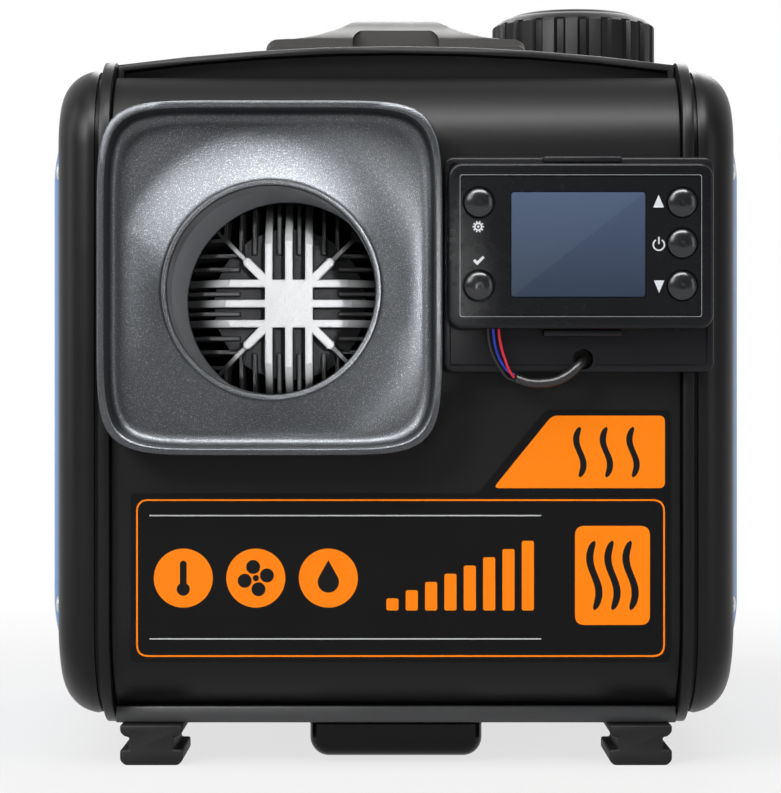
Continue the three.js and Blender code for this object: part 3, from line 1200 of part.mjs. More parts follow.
function buildController() {
  const black = material(0x141416, 0.35);
  addPiece('controller_cradle', controllerCradle(), material(0x17171a, 0.4));
  addPiece('controller_back', controllerBack(), black);
  addPiece('controller_face', controllerFace(), black);
  const board = prismY(controllerOutline(4.5), CONTROLLER_SPLIT + 2.1, CONTROLLER_SPLIT + 3.6);
  addPiece('controller_board', board, material(0x2c5a3c, 0.5));
  const glass = block(LCD_LEFT, LCD_RIGHT, CONTROLLER_FACE + 0.1, CONTROLLER_FACE + 1.5,
    LCD_BOTTOM, LCD_TOP);
  addPiece('display_window', glass, material(0x3a485e, 0.15));
  Object.entries(buttonSpots()).forEach(([name, [x, z]]) => {
    addPiece(name, pushButton(), material(0x1b1b1d, 0.3), [x, 0, z]);
  });
}

// Each route's points are [x, distance in front of the cradle, z].
const RED_ROUTE = [
  [41.8, 5.5, 193], [41.8, 5.5, 182], [42.3, 5.5, 177.7], [43.2, 5.5, 173.3],
  [44.6, 5.4, 169], [46.2, 5.1, 165], [48.2, 4.7, 162.2],
];
const BLUE_ROUTE = [
  [39.6, 5.5, 193], [39.5, 5.4, 183], [40, 4.3, 177.7], [41, 3.7, 173.3],
  [42.7, 3.6, 169], [45.4, 3.5, 165.2], [48.4, 3.4, 163.2],
];
const BLACK_ROUTE = [
  [37.4, 5.5, 192.6], [37.4, 5.5, 182], [38, 4.9, 176], [39.8, 4.3, 170.5],
  [42.4, 3.8, 166], [45.2, 3.5, 162.4], [48.2, 3.2, 161],
];
const SHEATH_ROUTE = [
  [49, 3.8, 161.8], [53.8, 3.9, 160.2], [59.6, 3.9, 159.9], [65.6, 3.8, 160.9], [71.2, 3.7, 163.9],
  [73.8, 3, 166.2], [75.5, 1.4, 167.9], [76.7, -1, 169], [77.3, -4.5, 169.5],
  [77.3, -12, 169.5], [77.3, -20, 169.5],
];

function cradleCord(route, radius, steps) {
  return cord(route.map(([x, out, z]) => [x, CRADLE_FRONT - out, z]), radius, steps);
}

function buildCable() {
  addPiece('red_wire', cradleCord(RED_ROUTE, WIRE_RADIUS, 9), material(0xc32030, 0.4));
  addPiece('blue_wire', cradleCord(BLUE_ROUTE, WIRE_RADIUS, 9), material(0x2038a8, 0.4));
  addPiece('black_wire', cradleCord(BLACK_ROUTE, WIRE_RADIUS, 9), material(0x151515, 0.4));
  addPiece('cable_sheath', cradleCord(SHEATH_ROUTE, SHEATH_RADIUS, 16), material(0x161616, 0.5));
}

// ---------- printed label ----------

function frontLabel() {
  const outline = [
    [-109.7, 44.6], [113.4, 44.6], [113.4, 148.8], [62, 148.8], [34, 114.2], [-109.7, 114.2],
  ].map(([x, z]) => new THREE.Vector2(x, z));
  return prismY(outline, -PANEL_FACE - GAP - 0.5, -PANEL_FACE - GAP);
}

buildSides();
buildPanels();
buildUnderside();
buildTop();
buildHeater();
buildFuelAndPower();
buildInlet();
buildController();
buildCable();
addPiece('front_label', frontLabel(), material(0x151515, 0.3));

export default heater;
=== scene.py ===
import math

import bmesh
import bpy
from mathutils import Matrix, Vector


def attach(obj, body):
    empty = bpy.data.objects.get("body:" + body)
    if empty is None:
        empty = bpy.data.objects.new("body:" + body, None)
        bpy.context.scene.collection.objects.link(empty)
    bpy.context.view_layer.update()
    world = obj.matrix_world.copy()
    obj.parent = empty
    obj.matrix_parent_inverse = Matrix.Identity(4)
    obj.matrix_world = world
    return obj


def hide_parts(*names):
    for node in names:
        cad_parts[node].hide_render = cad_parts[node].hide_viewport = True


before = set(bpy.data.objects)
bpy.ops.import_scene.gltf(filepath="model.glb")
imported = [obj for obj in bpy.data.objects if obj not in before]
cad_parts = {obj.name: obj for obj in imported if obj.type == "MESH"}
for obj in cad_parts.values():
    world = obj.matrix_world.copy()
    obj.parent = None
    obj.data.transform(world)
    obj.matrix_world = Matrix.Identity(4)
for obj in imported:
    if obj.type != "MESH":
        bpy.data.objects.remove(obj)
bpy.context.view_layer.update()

# Camera: a long lens in front of the heater, level with the middle of the case. It looks
# straight back along Y and isn't shifted.
CAMERA_DISTANCE = 1.1
CAMERA_HEIGHT = 0.1545
CAMERA_SIDE = -0.0023
RIB_FRONT = -0.182
LENS_MM = 121.2
SENSOR_MM = 36
camera_data = bpy.data.cameras.new("camera")
camera_data.lens = LENS_MM
camera_data.sensor_width = SENSOR_MM
camera_data.sensor_fit = "AUTO"
camera = bpy.data.objects.new("camera", camera_data)
camera.location = (CAMERA_SIDE, RIB_FRONT - CAMERA_DISTANCE, CAMERA_HEIGHT)
camera.rotation_euler = (math.pi / 2, 0, 0)
bpy.context.scene.collection.objects.link(camera)
bpy.context.scene.camera = camera


# Controller cable: three thin PVC-covered wires leave the controller and run together into
# a black sheath, which sags in front of the cradle and goes back into the case by its hole.
class Wire:
    """A socket in a node tree. Arithmetic on wires adds Math nodes."""

    def __init__(self, tree, socket=None):
        self.tree = tree
        self.socket = socket

    def node(self, kind, settings=(), inputs=(), output=0):
        made = self.tree.nodes.new(kind)
        for name, value in dict(settings).items():
            if name == "stops":
                set_stops(made.color_ramp, value)
            else:
                setattr(made, name, value)
        for name, value in dict(inputs).items():
            if isinstance(value, Wire):
                self.tree.links.new(value.socket, made.inputs[name])
            else:
                made.inputs[name].default_value = value
        return Wire(self.tree, made.outputs[output])

    def maths(self, operation, *values):
        return self.node("ShaderNodeMath", {"operation": operation}, dict(enumerate(values)))

    def __add__(self, other):
        return self.maths("ADD", self, other)

    def __sub__(self, other):
        return self.maths("SUBTRACT", self, other)

    def __rsub__(self, other):
        return self.maths("SUBTRACT", other, self)

    def __mul__(self, other):
        return self.maths("MULTIPLY", self, other)

    def __truediv__(self, other):
        return self.maths("DIVIDE", self, other)

    __radd__ = __add__
    __rmul__ = __mul__

    def over(self, limit):
        return self.maths("GREATER_THAN", self, limit)

    def mix(self, first, second):
        """A colour between two colours, with this wire as the share of the second."""
        return self.node(
            "ShaderNodeMix", {"data_type": "RGBA"}, {0: self, 6: first, 7: second}, output=2
        )


def set_stops(ramp, stops):
    while len(ramp.elements) > 1:
        ramp.elements.remove(ramp.elements[-1])
    for i, (position, colour) in enumerate(stops):
        element = ramp.elements[0] if i == 0 else ramp.elements.new(position)
        element.position = position
        element.color = colour


def linear(hex_code):
    """A colour as the shader wants it, from the six digits that a painter reads off."""
    channels = [int(hex_code[i : i + 2], 16) / 255 for i in (0, 2, 4)]
    return [c / 12.92 if c <= 0.04045 else ((c + 0.055) / 1.055) ** 2.4 for c in channels] + [1]


def start_finish(name):
    """A new material: its first wire, its shader, and the place on the piece in metres."""
    finish = bpy.data.materials.new(name)
    finish.use_nodes = True
    shader = finish.node_tree.nodes["Principled BSDF"]
    wire = Wire(finish.node_tree)
    place = wire.node("ShaderNodeTexCoord", output=3)
    return finish, wire, shader, place


def connect(shader, **values):
    """Sets the shader's sockets; an underscore in a name stands for a space."""
    for name, value in values.items():
        socket = shader.inputs[name.replace("_", " ")]
        if isinstance(value, Wire):
            value.tree.links.new(value.socket, socket)
        else:
            socket.default_value = value


def noise(wire, place, scale, detail=3.0, roughness=0.5):
    return wire.node(
        "ShaderNodeTexNoise",
        inputs={"Vector": place, "Scale": scale, "Detail": detail, "Roughness": roughness},
    )


def bump(wire, height, distance):
    return wire.node("ShaderNodeBump", inputs={"Height": height, "Distance": distance})


def shaded(colour, share, lift=0):
    """The colour made darker or paler by a share, and lifted by a little grey."""
    return [min(1, c * share + lift) for c in colour[:3]] + [1]


def moulded_plastic(name, hex_code, roughness, grain=1400, depth=0.00004, spread=0.06, tone=0.12):
    """Injection-moulded plastic: fine spark grain, slight tone drift and handling marks."""
    finish, wire, shader, place = start_finish(name)
    drift = noise(wire, place, 14, 4)
    marks = noise(wire, place, 120, 5, 0.65)
    speckle = noise(wire, place, grain, 2)
    colour = linear(hex_code)
    connect(
        shader,
        Base_Color=drift.mix(shaded(colour, 1 - tone), shaded(colour, 1 + tone)),
        Roughness=roughness + (drift - 0.5) * spread + (marks - 0.5) * spread,
        Normal=bump(wire, speckle, depth),
        Specular_IOR_Level=0.16,
    )
    return finish


def add_piece(name, data, finish, body="case", slot=None, stands_for=()):
    """Puts a mesh or curve into the scene, dressed and riding on its body."""
    piece = bpy.data.objects.new(name, data)
    bpy.context.scene.collection.objects.link(piece)
    data.materials.clear()
    data.materials.append(finish)
    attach(piece, body)
    if stands_for:
        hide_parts(*stands_for)
    return piece


def centripetal_points(route):
    """Points on the smooth curve that the route's given points define."""
    points = [Vector(p) for p in route]
    padded = [2 * points[0] - points[1], *points, 2 * points[-1] - points[-2]]
    smooth = []
    for i in range(1, len(padded) - 2):
        a, b, c, d = padded[i - 1 : i + 3]
        t1 = (b - a).length ** 0.5
        t2 = t1 + (c - b).length ** 0.5
        t3 = t2 + (d - c).length ** 0.5
        for step in range(CORD_SPAN_STEPS):
            t = t1 + (t2 - t1) * step / CORD_SPAN_STEPS
            ab = a.lerp(b, t / t1)
            bc = b.lerp(c, (t - t1) / (t2 - t1))
            cd = c.lerp(d, (t - t2) / (t3 - t2))
            abc = ab.lerp(bc, t / t2)
            bcd = bc.lerp(cd, (t - t1) / (t3 - t1))
            smooth.append(abc.lerp(bcd, (t - t1) / (t2 - t1)))
    smooth.append(points[-1])
    return smooth


def curve_length(points):
    return sum((b - a).length for a, b in zip(points, points[1:]))


def cord_piece(name, route_mm, radius_mm, finish, slot, node):
    """A cord between its two fixed ends, as a round curve along its route."""
    points = centripetal_points([[c / 1000 for c in p] for p in route_mm])
    data = bpy.data.curves.new(name, "CURVE")
    data.dimensions = "3D"
    data.bevel_depth = radius_mm / 1000
    data.bevel_resolution = CORD_BEVEL_STEPS
    data.use_fill_caps = True
    spline = data.splines.new("POLY")
    spline.points.add(len(points) - 1)
    for target, point in zip(spline.points, points):
        target.co = (*point, 1)
    piece = add_piece(name, data, finish, slot=slot, stands_for=[node])
    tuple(points[0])
    curve_length(points)
    2 * radius_mm / 1000


def insulation(name, hex_code):
    """Extruded plastic of a wire, sheath or hose: glossy, with faint waviness along it."""
    finish, wire, shader, place = start_finish(name)
    wave = noise(wire, place, 500, 2)
    colour = linear(hex_code)
    connect(
        shader,
        Base_Color=wave.mix(shaded(colour, 0.7), colour),
        Roughness=0.3 + wave * 0.15,
        Normal=bump(wire, wave, 0.0001),
    )
    return finish


CORD_SPAN_STEPS = 4
CORD_BEVEL_STEPS = 4
WIRE_RADIUS_MM = 0.6
SHEATH_RADIUS_MM = 2.0
WIRE_ROUTES = {
    "red_wire": [
        (41.8, -193.5, 193), (41.8, -193.5, 182), (42.3, -193.5, 177.7), (43.2, -193.5, 173.3),
        (44.6, -193.4, 169), (46.2, -193.1, 165), (48.2, -192.7, 162.2),
    ],
    "blue_wire": [
        (39.6, -193.5, 193), (39.5, -193.4, 183), (40, -192.3, 177.7), (41, -191.7, 173.3),
        (42.7, -191.6, 169), (45.4, -191.5, 165.2), (48.4, -191.4, 163.2),
    ],
    "black_wire": [
        (37.4, -193.5, 192.6), (37.4, -193.5, 182), (38, -192.9, 176), (39.8, -192.3, 170.5),
        (42.4, -191.8, 166), (45.2, -191.5, 162.4), (48.2, -191.2, 161),
    ],
}
SHEATH_ROUTE = [
    (49, -191.8, 161.8), (53.8, -191.9, 160.2), (59.6, -191.9, 159.9), (65.6, -191.8, 160.9),
    (71.2, -191.7, 163.9), (73.8, -191, 166.2), (75.5, -189.4, 167.9), (76.7, -187, 169),
    (77.3, -183.5, 169.5), (77.3, -176, 169.5), (77.3, -168, 169.5),
]
WIRE_COLOURS = {"red_wire": "d3122c", "blue_wire": "2036b8", "black_wire": "141414"}
WIRE_SLOTS = {"red_wire": "wire_red", "blue_wire": "wire_blue", "black_wire": "foot_rubber"}
for wire_name, route in WIRE_ROUTES.items():
    wire_finish = insulation(wire_name, WIRE_COLOURS[wire_name])
    cord_piece(
        f"{wire_name}_run", route, WIRE_RADIUS_MM, wire_finish, WIRE_SLOTS[wire_name],
        wire_name,
    )
sheath_finish = insulation("sheath_black", "151516")
cord_piece(
    "cable_sheath_run", SHEATH_ROUTE, SHEATH_RADIUS_MM, sheath_finish, "foot_rubber",
    "cable_sheath",
)


# Side shells: black injection-moulded trays with a raised rib round the edge, a groove
# behind it and a big soft radius out to the flat side, which has a window for the panel.
FLAT_FACE_ANGLE = math.radians(32)
CASE_HALF_DEPTH = 0.182
CASE_BOTTOM = 0.0155
CASE_TOP = 0.2965
CASE_BOTTOM_RADIUS = 0.046
CASE_TOP_RADIUS = 0.038
RIB_INNER_X = 0.1183
RIB_OUTER_X = 0.1229
RIB_WIDTH = 0.012
GROOVE_INSET = 0.007
PILLOW_START_X = 0.125
PILLOW_INSET = 0.0035
PILLOW_FILLET = 0.0165
SHELL_X = PILLOW_START_X + PILLOW_FILLET
WALL = 0.003
EDGE_EASE = 0.0006
WINDOW_HALF_DEPTH = 0.138
WINDOW_BOTTOM = 0.042
WINDOW_TOP = 0.272
WINDOW_RADIUS = 0.024
WINDOW_LEAST_RADIUS = 0.002
EASE_CORNER = EDGE_EASE * 0.3
SEAT_DEPTH = 0.0005
CORNER_STEPS = 16
EDGE_STEPS = 4
PILLOW_STEPS = 12
INNER_STEPS = 4
SIDES = {"right": 1, "left": -1}


def arc(centre_a, centre_b, radius, start, end, steps):
    """Points of an arc in a plane, with its angles in degrees."""
    turns = [math.radians(start + (end - start) * i / steps) for i in range(steps + 1)]
    return [(centre_a + radius * math.cos(t), centre_b + radius * math.sin(t)) for t in turns]


def rounded_outline(a0, a1, b0, b1, low, high=None, edge_steps=1):
    """A rectangle with rounded corners, counter-clockwise, with its lower and upper radius."""
    high = low if high is None else high
    corners = [
        arc(a0 + low, b0 + low, low, 180, 270, CORNER_STEPS),
        arc(a1 - low, b0 + low, low, 270, 360, CORNER_STEPS),
        arc(a1 - high, b1 - high, high, 0, 90, CORNER_STEPS),
        arc(a0 + high, b1 - high, high, 90, 180, CORNER_STEPS),
    ]
    outline = []
    for corner, following in zip(corners, corners[1:] + corners[:1]):
        outline += corner
        (xa, xb), (ya, yb) = corner[-1], following[0]
        for i in range(1, edge_steps):
            share = i / edge_steps
            outline.append((xa + (ya - xa) * share, xb + (yb - xb) * share))
    return outline


def skin_mesh(name, rings, endless=False):
    """A surface over rings of equally many points, its ends filled unless it is endless."""
    mesh = bpy.data.meshes.new(name)
    solid = bmesh.new()
    rows = [[solid.verts.new(p) for p in ring] for ring in rings]
    pairs = list(zip(rows, rows[1:]))
    if endless:
        pairs.append((rows[-1], rows[0]))
    for near, far in pairs:
        for i in range(len(near)):
            j = (i + 1) % len(near)
            solid.faces.new((near[i], near[j], far[j], far[i]))
    if not endless:
        solid.faces.new(list(reversed(rows[0])))
        solid.faces.new(rows[-1])
    bmesh.ops.recalc_face_normals(solid, faces=solid.faces)
    return close_mesh(mesh, solid)


def close_mesh(mesh, solid):
    solid.to_mesh(mesh)
    solid.free()
    return smoothed(mesh)


def smoothed(mesh):
    """Shades the mesh smooth, and leaves its sharper edges crisp."""
    for face in mesh.polygons:
        face.use_smooth = True
    mesh.set_sharp_from_angle(angle=FLAT_FACE_ANGLE)
    return mesh


def case_outline(inset):
    return rounded_outline(
        -CASE_HALF_DEPTH + inset, CASE_HALF_DEPTH - inset, CASE_BOTTOM + inset, CASE_TOP - inset,
        CASE_BOTTOM_RADIUS - inset, CASE_TOP_RADIUS - inset, edge_steps=EDGE_STEPS,
    )


def window_outline(inset):
    radius = max(WINDOW_RADIUS - inset, WINDOW_LEAST_RADIUS)
    return rounded_outline(
        -WINDOW_HALF_DEPTH + inset, WINDOW_HALF_DEPTH - inset,
        WINDOW_BOTTOM + inset, WINDOW_TOP - inset, radius, edge_steps=EDGE_STEPS,
    )


def at_x(outline, x):
    return [(x, y, z) for y, z in outline]


def quarter_round(inset, x, radius, steps):
    """The soft edge from the case's outline in to the flat side, as (inset, x)."""
    turns = [math.radians(90 * step / steps) for step in range(steps + 1)]
    return [(inset + radius * (1 - math.cos(t)), x + radius * math.sin(t)) for t in turns]


def shell_rings(sign):
    """From the rib's inner edge, over rib, groove and pillow, and back along the inside."""
    rib = [
        (RIB_WIDTH, RIB_INNER_X), (EDGE_EASE, RIB_INNER_X), (EASE_CORNER, RIB_INNER_X + EASE_CORNER),
        (0, RIB_INNER_X + EDGE_EASE), (0, RIB_OUTER_X - EDGE_EASE),
        (EASE_CORNER, RIB_OUTER_X - EASE_CORNER), (EDGE_EASE, RIB_OUTER_X),
        (GROOVE_INSET, RIB_OUTER_X), (GROOVE_INSET, PILLOW_START_X),
        (PILLOW_INSET + EDGE_EASE, PILLOW_START_X),
    ]
    pillow = quarter_round(PILLOW_INSET, PILLOW_START_X, PILLOW_FILLET, PILLOW_STEPS)
    window = [(-EDGE_EASE, SHELL_X), (0, SHELL_X - EDGE_EASE), (0, SHELL_X - WALL)]
    inside = quarter_round(
        PILLOW_INSET + WALL, PILLOW_START_X + WALL, PILLOW_FILLET - 2 * WALL, INNER_STEPS
    )
    seat = (RIB_WIDTH, PILLOW_START_X + SEAT_DEPTH)
    outside_rings = [at_x(case_outline(inset), sign * x) for inset, x in rib + pillow[1:]]
    window_rings = [at_x(window_outline(inset), sign * x) for inset, x in window]
    inside_rings = [at_x(case_outline(inset), sign * x) for inset, x in [*reversed(inside), seat]]
    return outside_rings + window_rings + inside_rings


shell_finish = moulded_plastic("shell_black", "131315", 0.36, depth=0.00003)
for side, sign in SIDES.items():
    shell = skin_mesh(f"{side}_shell", shell_rings(sign), endless=True)
    add_piece(f"{side}_shell", shell, shell_finish, slot="case_black", stands_for=[f"{side}_side_shell"])


# Blue side panels: crowned plastic covers that snap into the shells' windows from inside
# and bulge out past them, with a hidden lip behind the wall.
PANEL_CROWN = 0.009
PANEL_WALL = 0.0025
PANEL_REACH = 0.109
PANEL_LIP = 0.0055
PANEL_CLEARANCE = 0.0004
PANEL_STEP_OUT = 0.001
CROWN_STEPS = 21
CROWN_FLATNESS = 4
CROWN_FULLNESS = 0.6
SEAT_GAP = 0.0003


def crown_rings(sign, drop):
    """The crowned skin from its edge in to the middle; drop is how far it lies inside."""
    rings = []
    for step in range(CROWN_STEPS + 1):
        share = (step / CROWN_STEPS) ** 2
        height = PANEL_CROWN * (1 - (1 - share) ** CROWN_FLATNESS) ** CROWN_FULLNESS
        outline = window_outline(PANEL_CLEARANCE + drop + share * PANEL_REACH)
        rings.append(at_x(outline, sign * (SHELL_X + PANEL_STEP_OUT - drop + height)))
    return rings


def side_panel_rings(sign):
    """The cover's inner skin, the lip behind the shell's wall, and the outer skin."""
    lip_outer = SHELL_X - WALL - SEAT_GAP
    lip_inner = lip_outer - PANEL_WALL
    lip = [
        at_x(window_outline(PANEL_CLEARANCE + PANEL_WALL), sign * lip_inner),
        at_x(window_outline(-PANEL_LIP), sign * lip_inner),
        at_x(window_outline(-PANEL_LIP), sign * lip_outer),
        at_x(window_outline(PANEL_CLEARANCE), sign * lip_outer),
    ]
    return list(reversed(crown_rings(sign, PANEL_WALL))) + lip + crown_rings(sign, 0)


def blue_plastic(name, hex_code):
    """Glossy coloured plastic with faint flow marks and fine scuffs."""
    finish, wire, shader, place = start_finish(name)
    flow = noise(wire, place, 9, 4)
    scuffs = noise(wire, place, 260, 6, 0.7)
    colour = linear(hex_code)
    connect(
        shader,
        Base_Color=flow.mix(shaded(colour, 0.9), colour),
        Roughness=0.3 + (flow - 0.5) * 0.06 + (scuffs - 0.5) * 0.05,
        Normal=bump(wire, noise(wire, place, 700, 2), 0.00001),
        Specular_IOR_Level=0.2,
    )
    return finish


blue_finish = blue_plastic("side_blue_gloss", "1f74bd")
for side, sign in SIDES.items():
    cover = skin_mesh(f"{side}_blue_cover", side_panel_rings(sign))
    add_piece(f"{side}_blue_cover", cover, blue_finish, slot="side_blue", stands_for=[f"{side}_side_panel"])


# Side screws: bright plated steel screws with low domed heads and a cross recess, four on
# each side, driven through the shell close to the window's corners.
SCREW_Y = 0.150
SCREW_HEIGHTS = {"upper": 0.2497, "lower": 0.0665}
SCREW_HEAD_RADIUS = 0.004
SCREW_HEAD_HEIGHT = 0.0022
SCREW_SHANK_RADIUS = 0.0019
RECESS_HALF_LENGTH = 0.0022
RECESS_HALF_WIDTH = 0.0004
RECESS_FLOOR = 0.2
SCREW_DOME_STEPS = 7
SCREW_SIDES = 32
DOME_EDGE = 0.25
CUT_PAST = 0.001


def turned_mesh(name, profile, centre, axis, sides):
    """A turned solid: the profile is a list of (radius, height), on the axis at both ends."""
    mesh = bpy.data.meshes.new(name)
    solid = bmesh.new()
    rows = []
    for radius, height in profile:
        if radius == 0:
            rows.append([solid.verts.new(turned_point(0, 0, height, centre, axis))])
            continue
        turns = [2 * math.pi * i / sides for i in range(sides)]
        rows.append([solid.verts.new(turned_point(radius, t, height, centre, axis)) for t in turns])
    for near, far in zip(rows, rows[1:]):
        for i in range(sides):
            j = (i + 1) % sides
            corners = (near[i % len(near)], near[j % len(near)], far[j % len(far)], far[i % len(far)])
            solid.faces.new(list(dict.fromkeys(corners)))
    bmesh.ops.recalc_face_normals(solid, faces=solid.faces)
    return close_mesh(mesh, solid)


def turned_point(radius, turn, height, centre, axis):
    a, b = radius * math.cos(turn), radius * math.sin(turn)
    offset = {"x": (height, a, b), "y": (a, height, b), "z": (a, b, height)}[axis]
    return Vector(centre) + Vector(offset)


def cut_away(mesh, *tools):
    """Takes the tool meshes out of the mesh with exact booleans."""
    work = bpy.data.objects.new("work", mesh)
    bpy.context.scene.collection.objects.link(work)
    helpers = []
    for tool in tools:
        helper = bpy.data.objects.new("tool", tool)
        bpy.context.scene.collection.objects.link(helper)
        boolean = work.modifiers.new("cut", "BOOLEAN")
        boolean.operation = "DIFFERENCE"
        boolean.solver = "EXACT"
        boolean.object = helper
        helpers.append(helper)
    bpy.context.view_layer.update()
    graph = bpy.context.evaluated_depsgraph_get()
    result = bpy.data.meshes.new_from_object(work.evaluated_get(graph))
    for helper in [work, *helpers]:
        bpy.data.objects.remove(helper)
    return smoothed(result)


def box_mesh(name, low, high):
    """A plain box between two corners, to cut with or to round off."""
    mesh = bpy.data.meshes.new(name)
    solid = bmesh.new()
    bmesh.ops.create_cube(solid, size=1)
    for vertex in solid.verts:
        vertex.co = [(a + b) / 2 + c * (b - a) for a, b, c in zip(low, high, vertex.co)]
    solid.to_mesh(mesh)
    solid.free()
    return mesh


def screw_mesh(name, y, z, sign):
    """A domed screw, its head on the shell's side, with a cross cut into the dome."""
    seat = SHELL_X + SEAT_GAP
    tip = seat - 2 * WALL
    dome = []
    for step in range(1, SCREW_DOME_STEPS + 1):
        angle = math.radians(90 * step / SCREW_DOME_STEPS)
        rise = DOME_EDGE + (1 - DOME_EDGE) * math.cos(angle)
        dome.append((SCREW_HEAD_RADIUS * math.sin(angle), seat + SCREW_HEAD_HEIGHT * rise))
    profile = [(0, seat + SCREW_HEAD_HEIGHT), *dome, (SCREW_HEAD_RADIUS, seat)]
    profile += [(SCREW_SHANK_RADIUS, seat), (SCREW_SHANK_RADIUS, tip), (0, tip)]
    profile = [(radius, sign * height) for radius, height in profile]
    head = turned_mesh(name, profile, (0, y, z), "x", SCREW_SIDES)
    top = sign * (seat + SCREW_HEAD_HEIGHT + CUT_PAST)
    floor = sign * (seat + RECESS_FLOOR * SCREW_HEAD_HEIGHT)
    low_x, high_x = sorted((top, floor))
    arms = []
    for half_y, half_z in (
        (RECESS_HALF_LENGTH, RECESS_HALF_WIDTH), (RECESS_HALF_WIDTH, RECESS_HALF_LENGTH),
    ):
        arms.append(box_mesh("arm", (low_x, y - half_y, z - half_z), (high_x, y + half_y, z + half_z)))
    return cut_away(head, *arms)


def plated_steel(name, hex_code, roughness):
    """Bright plated steel with fine turning lines and small stains."""
    finish, wire, shader, place = start_finish(name)
    stain = noise(wire, place, 300, 4)
    fine = noise(wire, place, 2200, 2)
    colour = linear(hex_code)
    connect(
        shader,
        Base_Color=stain.mix(shaded(colour, 0.72), colour),
        Metallic=1.0,
        Roughness=roughness + (fine - 0.5) * 0.2,
        Normal=bump(wire, fine, 0.00002),
    )
    return finish


screw_finish = plated_steel("screw_plating", "d6d7d9", 0.22)
for side, sign in SIDES.items():
    for end, y in (("front", -SCREW_Y), ("rear", SCREW_Y)):
        for height_name, z in SCREW_HEIGHTS.items():
            screw_node = f"{side}_screw_{end}_{height_name}"
            screw_name = f"{screw_node}_domed"
            screw = screw_mesh(screw_name, y, z, sign)
            add_piece(screw_name, screw, screw_finish, slot="screw_steel", stands_for=[screw_node])


# Front and rear panels: moulded black plastic sheets held between the shells' ribs. Each
# stands straight, leans back round a soft radius at the top and rolls under at the bottom,
# and has holes for what comes through it.
PANEL_INSET = 0.005
PANEL_HALF_WIDTH = 0.118
PANEL_LEAN = 66
PANEL_END_Y = 0.130
PANEL_LOW_STEPS = 30
PANEL_TOP_STEPS = 26
HOLES_FROM = 0.16
HOLES_TO = 0.19
OUTLET_X = -0.051
OUTLET_Z = 0.1979
OUTLET_RADIUS = 0.0425
OUTLET_LIP = 0.0024
OUTLET_SIDES = 64
CABLE_HOLE = (0.0767, 0.1698)
CABLE_HOLE_RADIUS = 0.0042
CABLE_HOLE_SIDES = 24
HEATER_X = -0.0473
HEATER_Z = 0.1956


def panel_section(thickness_out, thickness_in):
    """The panel from the side, as (y, z) down the outside and back up the inside."""
    low = (-CASE_HALF_DEPTH + CASE_BOTTOM_RADIUS, CASE_BOTTOM + CASE_BOTTOM_RADIUS)
    top = (-CASE_HALF_DEPTH + CASE_TOP_RADIUS, CASE_TOP - CASE_TOP_RADIUS)
    low_radius = CASE_BOTTOM_RADIUS - PANEL_INSET
    top_radius = CASE_TOP_RADIUS - PANEL_INSET
    floor = CASE_BOTTOM + PANEL_INSET
    outside = [(-PANEL_END_Y, floor + thickness_out)]
    outside += arc(*low, low_radius - thickness_out, 270, 180, PANEL_LOW_STEPS)
    outside += arc(*top, top_radius - thickness_out, 180, 180 - PANEL_LEAN, PANEL_TOP_STEPS)
    inside = arc(*top, top_radius - thickness_in, 180 - PANEL_LEAN, 180, PANEL_TOP_STEPS)
    inside += arc(*low, low_radius - thickness_in, 180, 270, PANEL_LOW_STEPS)
    inside.append((-PANEL_END_Y, floor + thickness_in))
    return outside + inside


def panel_mesh(name, facing):
    """The sheet, with its two side edges eased; facing is -1 for the front and 1 for the rear."""
    edges = [
        (-PANEL_HALF_WIDTH, EDGE_EASE), (-PANEL_HALF_WIDTH + EDGE_EASE, 0),
        (PANEL_HALF_WIDTH - EDGE_EASE, 0), (PANEL_HALF_WIDTH, EDGE_EASE),
    ]
    rings = []
    for x, ease in edges:
        section = panel_section(ease, WALL)
        rings.append([(x, -facing * y, z) for y, z in section])
    return skin_mesh(name, rings)


def rod_mesh(x, z, radius, y0, y1, sides=OUTLET_SIDES):
    """A plain rod along Y, to cut a round hole with."""
    return turned_mesh("rod", [(0, y0), (radius, y0), (radius, y1), (0, y1)], (x, 0, z), "y", sides)


panel_finish = moulded_plastic("panel_black", "141415", 0.4, depth=0.00003, spread=0.05)
front_holes = [
    rod_mesh(OUTLET_X, OUTLET_Z, OUTLET_RADIUS + OUTLET_LIP + EDGE_EASE, -HOLES_TO, -HOLES_FROM),
    rod_mesh(*CABLE_HOLE, CABLE_HOLE_RADIUS, -HOLES_TO, -HOLES_FROM, CABLE_HOLE_SIDES),
]
front_sheet = cut_away(panel_mesh("front_sheet", -1), *front_holes)
add_piece("front_sheet", front_sheet, panel_finish, slot="case_black", stands_for=["front_panel"])

PIPE_HOLES_X = (-0.025, -0.072)
PIPE_Z = 0.094
PIPE_RADIUS = 0.012
PIPE_CLEARANCE = 0.002
INLET_X = 0.068
INLET_Z = 0.084
INTAKE_HOLE_RADIUS = 0.0473
INLET_HALF_WIDTH = 0.0273
INLET_HALF_HEIGHT = 0.0133
rear_holes = [rod_mesh(HEATER_X, HEATER_Z, INTAKE_HOLE_RADIUS, HOLES_FROM, HOLES_TO)]
for x in PIPE_HOLES_X:
    rear_holes.append(rod_mesh(x, PIPE_Z, PIPE_RADIUS + PIPE_CLEARANCE, HOLES_FROM, HOLES_TO))
rear_holes.append(
    box_mesh(
        "inlet", (INLET_X - INLET_HALF_WIDTH, HOLES_FROM, INLET_Z - INLET_HALF_HEIGHT),
        (INLET_X + INLET_HALF_WIDTH, HOLES_TO, INLET_Z + INLET_HALF_HEIGHT),
    )
)
rear_sheet = cut_away(panel_mesh("rear_sheet", 1), *rear_holes)
add_piece("rear_sheet", rear_sheet, panel_finish, slot="case_black", stands_for=["rear_panel"])


